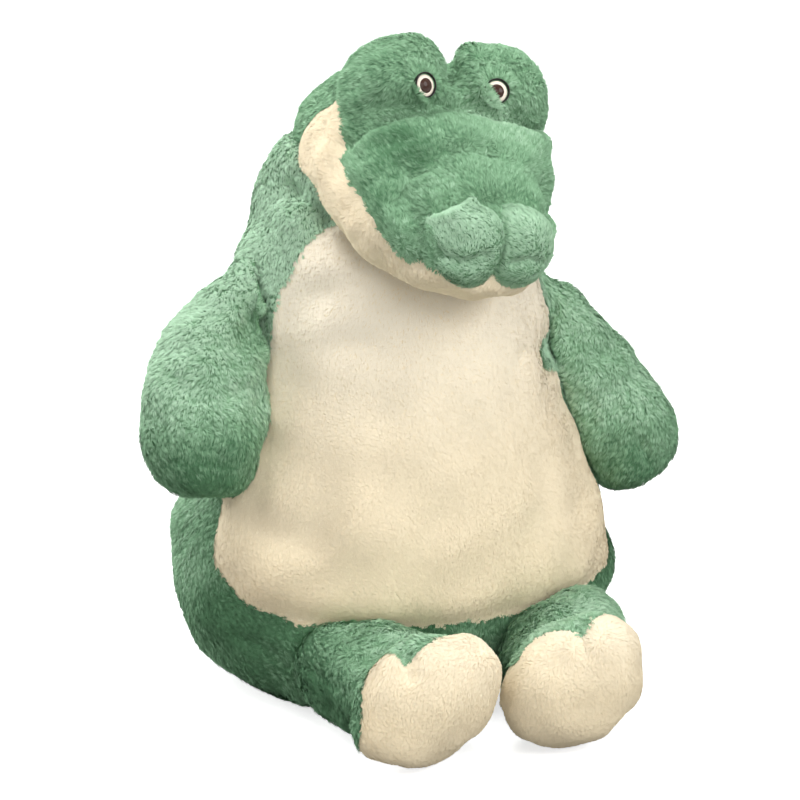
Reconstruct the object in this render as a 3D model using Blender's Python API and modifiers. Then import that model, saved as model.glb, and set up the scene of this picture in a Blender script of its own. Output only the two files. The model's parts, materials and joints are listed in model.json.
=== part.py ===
"""A sitting plush crocodile, weighted with a pouch of beads.

Each stuffed form is sewn from panels of pile fabric, a set thickness deep, round its own filling. Panels
meet at seams. The head, arms, legs and tail are bags of their own, sewn to the torso, and each swings at
one edge of its seam. It faces -Y, its right side is -X, and it sits on the plane z = 0. Metres.
"""
import math

import bmesh
import bpy
from mathutils import Matrix, Vector

for old in list(bpy.data.objects):
    bpy.data.objects.remove(old, do_unlink=True)

# Fabric and fits
COVER = 0.008
GAP = 0.0003
POUCH_CLOTH = 0.0015
OVERRUN = 0.05

# Torso
TORSO_HEIGHT = 0.428
TORSO_HALF_WIDTH = 0.178
TORSO_FRONT = 0.148
TORSO_BACK = 0.131
TORSO_SIDES = 12
# Each row: height, half width, reach to the front, reach to the back
TORSO_SHARES = (
    (-0.067, 0.55, 0.55, 0.56),
    (0.058, 0.91, 0.92, 0.91),
    (0.221, 1.05, 1.04, 1.03),
    (0.404, 0.87, 0.96, 0.93),
    (0.578, 0.69, 0.82, 0.79),
    (0.809, 0.65, 0.65, 0.74),
    (0.930, 0.575, 0.49, 0.73),
    (1.000, 0.43, 0.30, 0.56),
)
# The belly panel's seam seen from the side: back from the front reach, up the torso
BELLY_SEAM_SHARES = (
    (0.00, 0.169),
    (0.33, 0.185),
    (0.53, 0.212),
    (0.68, 0.274),
    (0.73, 0.366),
    (0.73, 0.539),
    (0.71, 0.732),
    (0.63, 0.847),
    (0.48, 0.910),
    (0.00, 0.939),
)

# Bead pouch
POUCH_HALF_WIDTH = 0.095
POUCH_HALF_DEPTH = 0.080
POUCH_HEIGHT = 0.072
POUCH_SIDES = 8
# Each row: height, reach
POUCH_SHARES = ((0.0, 0.70), (0.28, 1.03), (0.66, 0.97), (1.0, 0.50))
POUCH_SEAM_SHARE = 0.45

# Head, in its own frame: forward of the torso's axis, above the seat
HEAD_TURN = math.radians(7)
HEAD_LEAN = math.radians(8)
HEAD_LENGTH = 0.248
HEAD_BEHIND = 0.070
HEAD_HALF_WIDTH = 0.091
HEAD_FLOOR = 0.325
HEAD_DEPTH = 0.160
LEAN_SHARE = 0.35
HEAD_SIDES = 12
# A section between an ellipse at 1 and a fuller one below it
HEAD_SECTION_SHARE = 0.84
# Each row: along the head, half width, underside, top
HEAD_SHARES = (
    (0.00, 0.53, 0.22, 0.66),
    (0.17, 0.93, 0.06, 0.91),
    (0.42, 1.05, 0.01, 1.00),
    (0.64, 0.99, -0.02, 0.86),
    (0.79, 0.80, -0.05, 0.67),
    (0.90, 0.66, -0.03, 0.50),
    (1.00, 0.42, 0.06, 0.34),
)
# The cream jaw and cheeks seen from the side: along the head, up it
JAW_SEAM_SHARES = (
    (0.240, 0.00),
    (0.250, 0.27),
    (0.270, 0.45),
    (0.375, 0.66),
    (0.480, 0.79),
    (0.540, 0.68),
    (0.585, 0.50),
    (0.720, 0.33),
    (0.790, 0.19),
    (0.845, 0.115),
    (1.000, 0.09),
)
# The crease under the eye mounds: along the head, up it
BROW_SEAM_SHARES = ((0.86, 1.25), (0.69, 0.86), (0.635, 0.78), (0.52, 0.62), (0.52, -0.30))

# Each mound's place: out from the middle, and its shares along the head and up it
MOUND_SPREAD = 0.0412
MOUND_ALONG_SHARE = 0.516
MOUND_UP_SHARE = 0.812
MOUND_HALF_WIDTH = 0.0430
MOUND_HALF_DEPTH = 0.040
MOUND_HALF_HEIGHT = 0.046

# Each nose puff's place: out from the middle, back from the head's front, and its share up the head
PUFF_SPREAD = 0.0200
PUFF_BACK = 0.0200
PUFF_UP_SHARE = 0.235
PUFF_HALF_WIDTH = 0.0295
PUFF_HALF_DEPTH = 0.029
PUFF_HALF_HEIGHT = 0.031

# Eyes
EYE_RADIUS = 0.0095
EYE_LIP = 0.0009
EYE_DEPTH = 0.0030
EYE_FLOOR = 0.0012
EYE_SINK = 0.0022
WHITE_RISE = 0.0010
PUPIL_RADIUS = 0.0056
PUPIL_RISE = 0.0020
# The pupil's dome, from its top down: shares of its radius and of its rise
DOME_SHARES = ((0.0, 1.0), (0.50, 0.87), (0.92, 0.33))
SHANK_RADIUS = 0.0020
SHANK_TAIL = 0.0025
WASHER_RADIUS = 0.0080
WASHER_THICKNESS = 0.0015
EYE_STEPS = 12
# Each eye faces this far in from straight ahead, and up
EYE_INWARD = {"right": math.radians(11), "left": math.radians(20)}
EYE_RAISED = math.radians(15)

# Arms
SHOULDER_HEIGHT = {"right": 0.328, "left": 0.294}
SHOULDER_BACK = 0.005
SHOULDER_DEPTH = 0.012
ARM_LENGTH = 0.176
ARM_HALF_WIDTH = 0.047
ARM_HALF_DEPTH = 0.044
ARM_BOW = {"right": 0.017, "left": 0.007}
ARM_SIDES = 8
# Each row: along the arm, thickness
ARM_SHARES = ((-0.04, 0.54), (0.22, 0.77), (0.52, 1.04), (0.84, 1.11), (1.06, 0.66))
# How far apart on an arm's middle line two places are that give its direction
ARM_STEP_SHARE = 0.05
# Places along an arm where its seam bends
ARM_SEAM_SHARES = (0.0, 0.25, 0.5, 0.75, 1.0)
ARM_OUT = {"right": math.radians(22), "left": math.radians(31)}
ARM_FORWARD = {"right": math.radians(20), "left": math.radians(6)}

# Legs and feet
HIP_SPREAD = {"right": 0.078, "left": 0.104}
HIP_BEHIND_FRONT = 0.085
# How far behind the foot's middle the leg ends
ANKLE_BACK = 0.007
LEG_HEIGHT = 0.0455
LEG_HALF_WIDTH = 0.049
LEG_HALF_HEIGHT = 0.045
LEG_SIDES = 8
# Each row: along the leg, half width, half height
LEG_SHARES = ((-0.05, 0.88, 0.84), (0.35, 1.10, 1.04), (0.75, 1.00, 0.98), (1.0, 0.88, 0.86))
LEG_SEAM_HEIGHT = 0.042
FOOT_REACH = 0.217
FOOT_SPREAD = {"right": 0.0545, "left": 0.0600}
FOOT_HALF_WIDTH = 0.0575
FOOT_HALF_DEPTH = 0.037
FOOT_HALF_HEIGHT = 0.0480
# Both feet lean, their left ends up
FOOT_LEAN = math.radians(20)
SOLE_SEAM_BACK = 0.010
SOLE_SEAM_LEAN = 0.012

# Tail
TAIL_HEIGHT = 0.050
TAIL_IN = 0.030
TAIL_LENGTH = 0.140
TAIL_HALF_WIDTH = 0.056
TAIL_HALF_HEIGHT = 0.052
TAIL_SIDES = 8
# Each row: along the tail, thickness, drop of the axis
TAIL_SHARES = ((0.0, 0.92, 0.0), (0.35, 0.86, 0.08), (0.74, 0.54, 0.36), (1.0, 0.24, 0.52))
TAIL_SEAM_SHARE = 0.86

GREEN = (0.195, 0.405, 0.250)
CREAM = (0.810, 0.680, 0.490)
FIBRE = (0.800, 0.800, 0.780)
POUCH_CREAM = (0.600, 0.560, 0.470)
BEADS = (0.550, 0.580, 0.600)
BLACK = (0.012, 0.010, 0.009)
WHITE = (0.850, 0.780, 0.700)
BROWN = (0.060, 0.024, 0.017)
CLEAR = (0.700, 0.700, 0.680)

BALL_SEGMENTS = 12
BALL_BANDS = 7
# Where a ring's first point lies in its step, so that no point falls on a seam through the ring's middle
START_SHARE = 0.25
# A corner of a cutter set off from a sharp bend in its outline reaches no further than this share's inverse
MITRE_SHARE = 0.2
MERGE = 0.00005
SIDES = {"right": -1, "left": 1}
UP = Vector((0, 0, 1))
ACROSS = Vector((1, 0, 0))
# The head is turned and leant a little to the toy's left, about a point in its neck
NECK = Vector((0, 0, HEAD_FLOOR + HEAD_DEPTH * LEAN_SHARE))
TURN = (Matrix.Rotation(HEAD_TURN, 4, "Z") @ Matrix.Translation(NECK) @ Matrix.Rotation(HEAD_LEAN, 4, "Y")
        @ Matrix.Translation(-NECK))

parts = bpy.data.collections.new("weighted_crocodile")
guides = bpy.data.collections.new("guides")
bpy.context.scene.collection.children.link(parts)
bpy.context.scene.collection.children.link(guides)


def material(name, colour, roughness):
    made = bpy.data.materials.new(name)
    made.use_nodes = True
    shader = made.node_tree.nodes["Principled BSDF"]
    shader.inputs["Base Color"].default_value = (*colour, 1)
    shader.inputs["Roughness"].default_value = roughness
    shader.inputs["Metallic"].default_value = 0
    return made


def guide_object(name, mesh):
    """A form or cutter, left out of the model itself."""
    obj = bpy.data.objects.new(name, mesh)
    obj.hide_render = True
    obj.display_type = "WIRE"
    guides.objects.link(obj)
    return obj


def boolean(obj, operation, other):
    step = obj.modifiers.new(operation.title(), "BOOLEAN")
    step.operation = operation
    step.object = other
    step.solver = "EXACT"


def piece(name, form, steps, look, pivot=None):
    """A solid cut out of a form: each step is a Boolean operation and the guide it uses."""
    obj = form.copy()
    obj.name = name
    obj.data = form.data.copy()
    obj.hide_render = False
    obj.display_type = "TEXTURED"
    parts.objects.link(obj)
    obj.data.materials.clear()
    obj.data.materials.append(material(name, *look))
    obj.data.shade_smooth()
    for operation, other in steps:
        boolean(obj, operation, other)
    if pivot:
        obj.parent = pivot
        obj.matrix_parent_inverse = pivot.matrix_world.inverted()
    return obj


def pivot_at(name, place):
    """An empty on the axis that a limb swings about."""
    empty = bpy.data.objects.new(name, None)
    empty.location = place
    parts.objects.link(empty)
    bpy.context.view_layer.update()
    return empty


def fuller(value, section):
    """A sine or cosine drawn towards a squarer section, for a section share below 1."""
    return math.copysign(abs(value) ** section, value)


def cage(name, rings, sides, grow, turn=Matrix(), section=1):
    """A round form lofted through rings of unlike size, each (centre, across, up, side, top, bottom).

    Subdivision draws a ring of few points in, and the ring is set out by as much beforehand.
    """
    shell = bmesh.new()
    set_out = 1 / math.cos(math.pi / sides)
    loops = []
    ends = [(rings[0][0] - rings[1][0]).normalized(), (rings[-1][0] - rings[-2][0]).normalized()]
    for index, (centre, across, up, side, top, bottom) in enumerate(rings):
        if index == 0:
            centre = centre + ends[0] * grow
        if index == len(rings) - 1:
            centre = centre + ends[1] * grow
        loop = []
        for step in range(sides):
            angle = 2 * math.pi * (step + START_SHARE) / sides
            rise = top if math.cos(angle) > 0 else bottom
            out = across * fuller(math.sin(angle), section) * (side + grow)
            out += up * fuller(math.cos(angle), section) * (rise + grow)
            loop.append(shell.verts.new(centre + out * set_out))
        loops.append(loop)
    for lower, upper in zip(loops, loops[1:]):
        for step in range(sides):
            after = (step + 1) % sides
            shell.faces.new((lower[step], lower[after], upper[after], upper[step]))
    shell.faces.new(loops[0])
    shell.faces.new(loops[-1])
    bmesh.ops.recalc_face_normals(shell, faces=shell.faces)
    shell.transform(turn)
    mesh = bpy.data.meshes.new(name)
    shell.to_mesh(mesh)
    shell.free()
    obj = guide_object(name, mesh)
    rounding = obj.modifiers.new("Rounding", "SUBSURF")
    rounding.levels = 1
    rounding.render_levels = 1
    # The same diagonals in every copy of a form keep a cover clear of what fills it
    facets = obj.modifiers.new("Facets", "TRIANGULATE")
    facets.quad_method = "FIXED"
    return obj


def ball(name, centre, halves, grow, turn=Matrix()):
    """A puff: a sphere with its own half width, half depth and half height."""
    shell = bmesh.new()
    bmesh.ops.create_uvsphere(shell, u_segments=BALL_SEGMENTS, v_segments=BALL_BANDS, radius=1)
    size = Matrix.Diagonal((halves[0] + grow, halves[1] + grow, halves[2] + grow, 1))
    shell.transform(turn @ Matrix.Translation(centre) @ size)
    mesh = bpy.data.meshes.new(name)
    shell.to_mesh(mesh)
    shell.free()
    return guide_object(name, mesh)


def set_off(outline, distance):
    """The outline moved out by a distance; its points run anticlockwise."""
    moved = []
    for index, point in enumerate(outline):
        before = (point - outline[index - 1]).normalized()
        after = (outline[(index + 1) % len(outline)] - point).normalized()
        normal = Vector((before.y + after.y, -before.x - after.x)).normalized()
        reach = distance / max(normal.dot(Vector((after.y, -after.x))), MITRE_SHARE)
        moved.append(point + normal * reach)
    return moved


def prism(name, outline, half_length, along, grow=0, turn=Matrix()):
    """A straight cutter. Its outline is (y, z) for one along X and (x, z) for one along Y."""
    flat = [Vector(point) for point in outline]
    area = sum(a.x * b.y - b.x * a.y for a, b in zip(flat, flat[1:] + flat[:1]))
    if area < 0:
        flat.reverse()
    shell = bmesh.new()
    corners = []
    for point in set_off(flat, grow):
        place = (-half_length, point.x, point.y) if along == "X" else (point.x, -half_length, point.y)
        corners.append(shell.verts.new(place))
    face = shell.faces.new(corners)
    raised = bmesh.ops.extrude_face_region(shell, geom=[face])["geom"]
    reach = ACROSS if along == "X" else Vector((0, 1, 0))
    bmesh.ops.translate(shell, verts=[v for v in raised if isinstance(v, bmesh.types.BMVert)],
                        vec=reach * 2 * half_length)
    bmesh.ops.recalc_face_normals(shell, faces=shell.faces)
    shell.transform(turn)
    mesh = bpy.data.meshes.new(name)
    shell.to_mesh(mesh)
    shell.free()
    return guide_object(name, mesh)


def turned(name, profile, matrix, look, pivot):
    """A round plastic piece on its own axis; the profile is (radius, height), down its outer side."""
    mesh = bpy.data.meshes.new(name)
    open_ended = profile[0][0] == 0
    count = len(profile)
    edges = [(i, i + 1) for i in range(count - 1)]
    if not open_ended:
        edges.append((count - 1, 0))
    mesh.from_pydata([(radius, 0, height) for radius, height in profile], edges, [])
    obj = bpy.data.objects.new(name, mesh)
    obj.matrix_world = matrix
    spin = obj.modifiers.new("Turning", "SCREW")
    spin.axis = "Z"
    spin.steps = EYE_STEPS
    spin.render_steps = EYE_STEPS
    spin.use_merge_vertices = True
    spin.merge_threshold = MERGE
    spin.use_smooth_shade = True
    parts.objects.link(obj)
    mesh.materials.append(material(name, *look))
    obj.parent = pivot
    obj.matrix_parent_inverse = pivot.matrix_world.inverted()
    return obj


def cylinder(name, radius, bottom, top, matrix):
    """A round cutter along an eye's axis."""
    shell = bmesh.new()
    bmesh.ops.create_cone(shell, cap_ends=True, segments=EYE_STEPS, radius1=radius, radius2=radius,
                          depth=top - bottom)
    shell.transform(matrix @ Matrix.Translation((0, 0, (top + bottom) / 2)))
    mesh = bpy.data.meshes.new(name)
    shell.to_mesh(mesh)
    shell.free()
    return guide_object(name, mesh)


def torso_at(height):
    """The torso's half width, front reach and back reach at a height above the seat."""
    share = height / TORSO_HEIGHT
    for low, high in zip(TORSO_SHARES, TORSO_SHARES[1:]):
        if share <= high[0]:
            break
    mix = (share - low[0]) / (high[0] - low[0])
    width, front, back = (a + (b - a) * mix for a, b in zip(low[1:], high[1:]))
    return TORSO_HALF_WIDTH * width, TORSO_FRONT * front, TORSO_BACK * back


fur = (GREEN, 0.95)
cream_fur = (CREAM, 0.95)
fibre = (FIBRE, 1.0)

# The plane that the toy sits on, and the seat panel's top
wide = TORSO_HALF_WIDTH + ARM_LENGTH
deep = FOOT_REACH + TORSO_BACK + TAIL_LENGTH + OVERRUN
below_seat = prism("below_seat", ((-deep, -deep), (deep, -deep), (deep, 0), (-deep, 0)), wide, "X")
seat_top = COVER
below_panels = prism("below_panels", ((-deep, -deep), (deep, -deep), (deep, seat_top + GAP),
                                      (-deep, seat_top + GAP)), wide, "X")
above_seat = prism("above_seat", ((-deep, seat_top), (deep, seat_top), (deep, deep), (-deep, deep)),
                   wide, "X")


# Torso
def torso_form(name, grow):
    rings = []
    for height, width, front, back in TORSO_SHARES:
        rings.append((UP * TORSO_HEIGHT * height, ACROSS, Vector((0, -1, 0)), TORSO_HALF_WIDTH * width,
                      TORSO_FRONT * front, TORSO_BACK * back))
    return cage(name, rings, TORSO_SIDES, grow)


torso = torso_form("torso_form", 0)
torso_inside = torso_form("torso_inside", -COVER)
torso_core = torso_form("torso_core", -COVER - GAP)
torso_clear = torso_form("torso_clear", GAP)

belly_outline = [(-TORSO_FRONT * (1 - back) - (OVERRUN if back == 0 else 0), TORSO_HEIGHT * up)
                 for back, up in BELLY_SEAM_SHARES]
belly_region = prism("belly_region", belly_outline, wide, "X")
belly_clear = prism("belly_clear", belly_outline, wide + GAP, "X", GAP)

piece("body_back_cover", torso,
      [("DIFFERENCE", torso_inside), ("DIFFERENCE", below_panels), ("DIFFERENCE", belly_clear)], fur)
piece("belly_panel", torso,
      [("DIFFERENCE", torso_inside), ("INTERSECT", belly_region)], cream_fur)
piece("seat_panel", torso, [("DIFFERENCE", below_seat), ("DIFFERENCE", above_seat)], fur)


# Bead pouch and its beads, lying on the seat panel inside the filling
def pouch_form(name, grow, drop=0):
    """The pouch's form; a drop carries it down through the seat, for the filling's open underside."""
    rings = []
    floor = seat_top + GAP
    shares = POUCH_SHARES
    if drop:
        shares = ((-drop / POUCH_HEIGHT, POUCH_SHARES[1][1]), (0, POUCH_SHARES[1][1])) + POUCH_SHARES[1:]
    for height, reach in shares:
        rings.append((UP * (floor + POUCH_HEIGHT * height), ACROSS, Vector((0, -1, 0)),
                      POUCH_HALF_WIDTH * reach, POUCH_HALF_DEPTH * reach, POUCH_HALF_DEPTH * reach))
    return cage(name, rings, POUCH_SIDES, grow)


pouch = pouch_form("pouch_form", 0)
pouch_inside = pouch_form("pouch_inside", -POUCH_CLOTH)
pouch_core = pouch_form("pouch_core", -POUCH_CLOTH - GAP)
pouch_clear = pouch_form("pouch_clear", GAP, OVERRUN)
pouch_seam = seat_top + POUCH_HEIGHT * POUCH_SEAM_SHARE
pouch_low = prism("pouch_low", ((-deep, -deep), (deep, -deep), (deep, pouch_seam), (-deep, pouch_seam)),
                  wide, "X")
pouch_low_clear = prism("pouch_low_clear", ((-deep, -deep), (deep, -deep), (deep, pouch_seam + GAP),
                                            (-deep, pouch_seam + GAP)), wide, "X")
piece("bead_pouch_base", pouch, [("DIFFERENCE", pouch_inside), ("INTERSECT", pouch_low)], (POUCH_CREAM, 0.9))
piece("bead_pouch_top", pouch, [("DIFFERENCE", pouch_inside), ("DIFFERENCE", pouch_low_clear)],
      (POUCH_CREAM, 0.9))
piece("weighting_beads", pouch_core, [], (BEADS, 0.5))
piece("torso_filling", torso_core, [("DIFFERENCE", below_panels), ("DIFFERENCE", pouch_clear)], fibre)


# Head
def head_point(along, up):
    """A place on the head's middle plane, from shares of its length and depth, before it is turned."""
    return Vector((0, HEAD_BEHIND - HEAD_LENGTH * along, HEAD_FLOOR + HEAD_DEPTH * up))


def mound_centre(side):
    return head_point(MOUND_ALONG_SHARE, MOUND_UP_SHARE) + ACROSS * side * MOUND_SPREAD


def head_form(name, grow):
    rings = []
    for along, width, under, top in HEAD_SHARES:
        middle = head_point(along, (under + top) / 2)
        half = HEAD_DEPTH * (top - under) / 2
        rings.append((middle, ACROSS, UP, HEAD_HALF_WIDTH * width, half, half))
    form = cage(name, rings, HEAD_SIDES, grow, TURN, HEAD_SECTION_SHARE)
    halves = (MOUND_HALF_WIDTH, MOUND_HALF_DEPTH, MOUND_HALF_HEIGHT)
    for side_name, side in SIDES.items():
        boolean(form, "UNION", ball(f"{name}_mound_{side_name}", mound_centre(side), halves, grow, TURN))
    return form


head = head_form("head_form", 0)
head_inside = head_form("head_inside", -COVER)
head_core = head_form("head_core", -COVER - GAP)
head_clear = head_form("head_clear", GAP)

nape = TURN @ Vector((0, HEAD_BEHIND, HEAD_FLOOR + HEAD_DEPTH * HEAD_SHARES[0][2]))
head_pivot = pivot_at("head_pivot", nape)

jaw_outline = [head_point(along, up).yz for along, up in JAW_SEAM_SHARES]
jaw_outline[0] = jaw_outline[0] - Vector((0, HEAD_DEPTH))
jaw_outline[-1] = jaw_outline[-1] - Vector((OVERRUN, 0))
jaw_outline.append(Vector((jaw_outline[-1].x, jaw_outline[0].y)))
jaw_region = prism("jaw_region", jaw_outline, wide, "X", 0, TURN)
jaw_clear = prism("jaw_clear", jaw_outline, wide + GAP, "X", GAP, TURN)
snout_outline = [head_point(along, up).yz for along, up in BROW_SEAM_SHARES]
front = snout_outline[0].x - HEAD_LENGTH
snout_outline += [Vector((front, snout_outline[-1].y)), Vector((front, snout_outline[0].y))]
snout_region = prism("snout_region", snout_outline, wide, "X", 0, TURN)
snout_clear = prism("snout_clear", snout_outline, wide + GAP, "X", GAP, TURN)


def eye_matrix(side_name):
    """An eye's frame: seated on the front of its mound, with +Z straight out of it."""
    side = SIDES[side_name]
    inward = EYE_INWARD[side_name]
    out = Vector((-side * math.sin(inward) * math.cos(EYE_RAISED),
                  -math.cos(inward) * math.cos(EYE_RAISED), math.sin(EYE_RAISED)))
    halves = Vector((MOUND_HALF_WIDTH, MOUND_HALF_DEPTH, MOUND_HALF_HEIGHT))
    place = mound_centre(side) + out * halves
    normal = Vector((out.x / halves.x, out.y / halves.y, out.z / halves.z)).normalized()
    seat = Matrix.Translation(place - normal * EYE_SINK)
    return TURN @ seat @ UP.rotation_difference(normal).to_matrix().to_4x4()


eye_cuts = []
eye_pockets = []
washer_top = EYE_SINK - COVER - GAP
washer_low = washer_top - WASHER_THICKNESS
for side_name in SIDES:
    place = eye_matrix(side_name)
    hole = SHANK_RADIUS + GAP
    bed = EYE_FLOOR + GAP
    inner = EYE_RADIUS - EYE_LIP
    turned(f"{side_name}_eye_rim",
           [(inner, EYE_DEPTH), (EYE_RADIUS, EYE_DEPTH), (EYE_RADIUS, 0), (hole, 0), (hole, EYE_FLOOR),
            (inner, EYE_FLOOR)], place, (BLACK, 0.25), head_pivot)
    turned(f"{side_name}_eye_white",
           [(hole, EYE_DEPTH + WHITE_RISE / 2), (PUPIL_RADIUS, EYE_DEPTH + WHITE_RISE / 2),
            (inner - GAP, EYE_DEPTH - WHITE_RISE / 2), (inner - GAP, bed), (hole, bed)],
           place, (WHITE, 0.3), head_pivot)
    seat = EYE_DEPTH + WHITE_RISE / 2 + GAP
    turned(f"{side_name}_eye_pupil",
           [(PUPIL_RADIUS * out, seat + PUPIL_RISE * rise) for out, rise in DOME_SHARES]
           + [(PUPIL_RADIUS, seat), (SHANK_RADIUS, seat), (SHANK_RADIUS, washer_low - SHANK_TAIL),
              (0, washer_low - SHANK_TAIL)], place, (BROWN, 0.2), head_pivot)
    turned(f"{side_name}_eye_washer",
           [(hole, washer_top), (WASHER_RADIUS, washer_top), (WASHER_RADIUS, washer_low), (hole, washer_low)],
           place, (CLEAR, 0.4), head_pivot)
    bed_cut = ("DIFFERENCE", cylinder(f"{side_name}_eye_bed", EYE_RADIUS + GAP, -GAP, OVERRUN, place))
    eye_cuts.append(bed_cut)
    eye_pockets.append(bed_cut)
    eye_cuts.append(("DIFFERENCE", cylinder(f"{side_name}_shank_hole", SHANK_RADIUS + GAP, -OVERRUN, OVERRUN,
                                            place)))
    # The washer lies flat where the mound's inside curves, so it presses a bed into cover and filling
    eye_cuts.append(("DIFFERENCE", cylinder(f"{side_name}_washer_bed", WASHER_RADIUS + GAP,
                                            washer_low - GAP, washer_top + GAP, place)))
    eye_pockets.append(("DIFFERENCE", cylinder(f"{side_name}_washer_pocket", WASHER_RADIUS + GAP,
                                               washer_low - SHANK_TAIL - GAP, OVERRUN, place)))

head_shell = [("DIFFERENCE", head_inside), ("DIFFERENCE", torso_clear)]
piece("brow_cover", head, head_shell + [("DIFFERENCE", jaw_clear), ("DIFFERENCE", snout_clear)] + eye_cuts,
      fur, head_pivot)
piece("snout_cover", head, head_shell + [("DIFFERENCE", jaw_clear), ("INTERSECT", snout_region)] + eye_cuts,
      fur, head_pivot)
piece("jaw_panel", head, head_shell + [("INTERSECT", jaw_region)], cream_fur, head_pivot)
piece("head_filling", head_core, [("DIFFERENCE", torso_clear)] + eye_pockets, fibre, head_pivot)
for side_name, side in SIDES.items():
    halves = (PUFF_HALF_WIDTH, PUFF_HALF_DEPTH, PUFF_HALF_HEIGHT)
    place = head_point(1, PUFF_UP_SHARE) + Vector((side * PUFF_SPREAD, PUFF_BACK, 0))
    puff = ball(f"{side_name}_puff_form", place, halves, 0, TURN)
    # The two puffs press flat against each other on the head's middle plane
    inner = side * GAP / 2
    own_half = prism(f"{side_name}_puff_half",
                     ((inner, 0), (inner, deep), (side * wide, deep), (side * wide, 0)), deep, "Y", 0, TURN)
    piece(f"nose_puff_{side_name}", puff, [("DIFFERENCE", head_clear), ("INTERSECT", own_half)],
          fur, head_pivot)


# Arms
def arm_point(side_name, along):
    """A place on an arm's middle line, which bows outward between the shoulder and the tip."""
    side = SIDES[side_name]
    height = SHOULDER_HEIGHT[side_name]
    root = Vector((side * (torso_at(height)[0] - SHOULDER_DEPTH), -SHOULDER_BACK, height))
    out = ARM_OUT[side_name]
    forward = ARM_FORWARD[side_name]
    reach = Vector((side * math.tan(out), -math.tan(forward), -1)).normalized() * ARM_LENGTH
    return root + reach * along + ACROSS * side * ARM_BOW[side_name] * math.sin(math.pi * along)


def arm_form(name, side_name, grow):
    rings = []
    for along, share in ARM_SHARES:
        centre = arm_point(side_name, along)
        ahead = arm_point(side_name, along + ARM_STEP_SHARE) - arm_point(side_name, along - ARM_STEP_SHARE)
        ahead.normalize()
        across = ahead.cross(Vector((0, 1, 0))).normalized()
        up = across.cross(ahead).normalized()
        rings.append((centre, across, up, ARM_HALF_WIDTH * share, ARM_HALF_DEPTH * share,
                      ARM_HALF_DEPTH * share))
    return cage(name, rings, ARM_SIDES, grow)


for side_name, side in SIDES.items():
    arm = arm_form(f"{side_name}_arm_form", side_name, 0)
    arm_inside = arm_form(f"{side_name}_arm_inside", side_name, -COVER)
    arm_core = arm_form(f"{side_name}_arm_core", side_name, -COVER - GAP)
    middle = [arm_point(side_name, share) for share in ARM_SEAM_SHARES]
    edge = side * (TORSO_HALF_WIDTH + ARM_LENGTH)
    top = middle[0].z + ARM_LENGTH
    seam = [(middle[0].x, top)] + [(place.x, place.z) for place in middle]
    seam += [(middle[-1].x, middle[-1].z - ARM_LENGTH), (edge, middle[-1].z - ARM_LENGTH), (edge, top)]
    outer = prism(f"{side_name}_arm_outer", seam, deep, "Y")
    outer_clear = prism(f"{side_name}_arm_outer_clear", seam, deep + GAP, "Y", GAP)
    shoulder = arm_point(side_name, 0)
    shoulder_top = shoulder.z + ARM_HALF_WIDTH * ARM_SHARES[0][1]
    arm_pivot = pivot_at(f"{side_name}_arm_pivot",
                         (side * torso_at(shoulder_top)[0], shoulder.y, shoulder_top))
    shell = [("DIFFERENCE", arm_inside), ("DIFFERENCE", torso_clear)]
    piece(f"{side_name}_arm_outer_panel", arm, shell + [("INTERSECT", outer)], fur, arm_pivot)
    piece(f"{side_name}_arm_inner_panel", arm, shell + [("DIFFERENCE", outer_clear)], fur, arm_pivot)
    piece(f"{side_name}_arm_filling", arm_core, [("DIFFERENCE", torso_clear)], fibre, arm_pivot)


# Legs and feet. A foot's middle is as high as its leaning form reaches below it
foot_height = math.hypot(FOOT_HALF_WIDTH * math.sin(FOOT_LEAN), FOOT_HALF_HEIGHT * math.cos(FOOT_LEAN))


def leg_form(name, side_name, grow):
    side = SIDES[side_name]
    hip = Vector((side * HIP_SPREAD[side_name], -TORSO_FRONT + HIP_BEHIND_FRONT, LEG_HEIGHT))
    ankle = Vector((side * FOOT_SPREAD[side_name], ANKLE_BACK - FOOT_REACH, LEG_HEIGHT))
    ahead = (ankle - hip).normalized()
    across = ahead.cross(UP).normalized()
    rings = []
    for along, width, height in LEG_SHARES:
        rings.append((hip.lerp(ankle, along), across, UP, LEG_HALF_WIDTH * width, LEG_HALF_HEIGHT * height,
                      LEG_HALF_HEIGHT * height))
    form = cage(name, rings, LEG_SIDES, grow)
    halves = (FOOT_HALF_WIDTH, FOOT_HALF_DEPTH, FOOT_HALF_HEIGHT)
    heel = Matrix.Translation((side * FOOT_SPREAD[side_name], -FOOT_REACH, foot_height - GAP))
    lean = heel @ Matrix.Rotation(-FOOT_LEAN, 4, "Y")
    boolean(form, "UNION", ball(f"{name}_foot", Vector(), halves, grow, lean))
    return form


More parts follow.
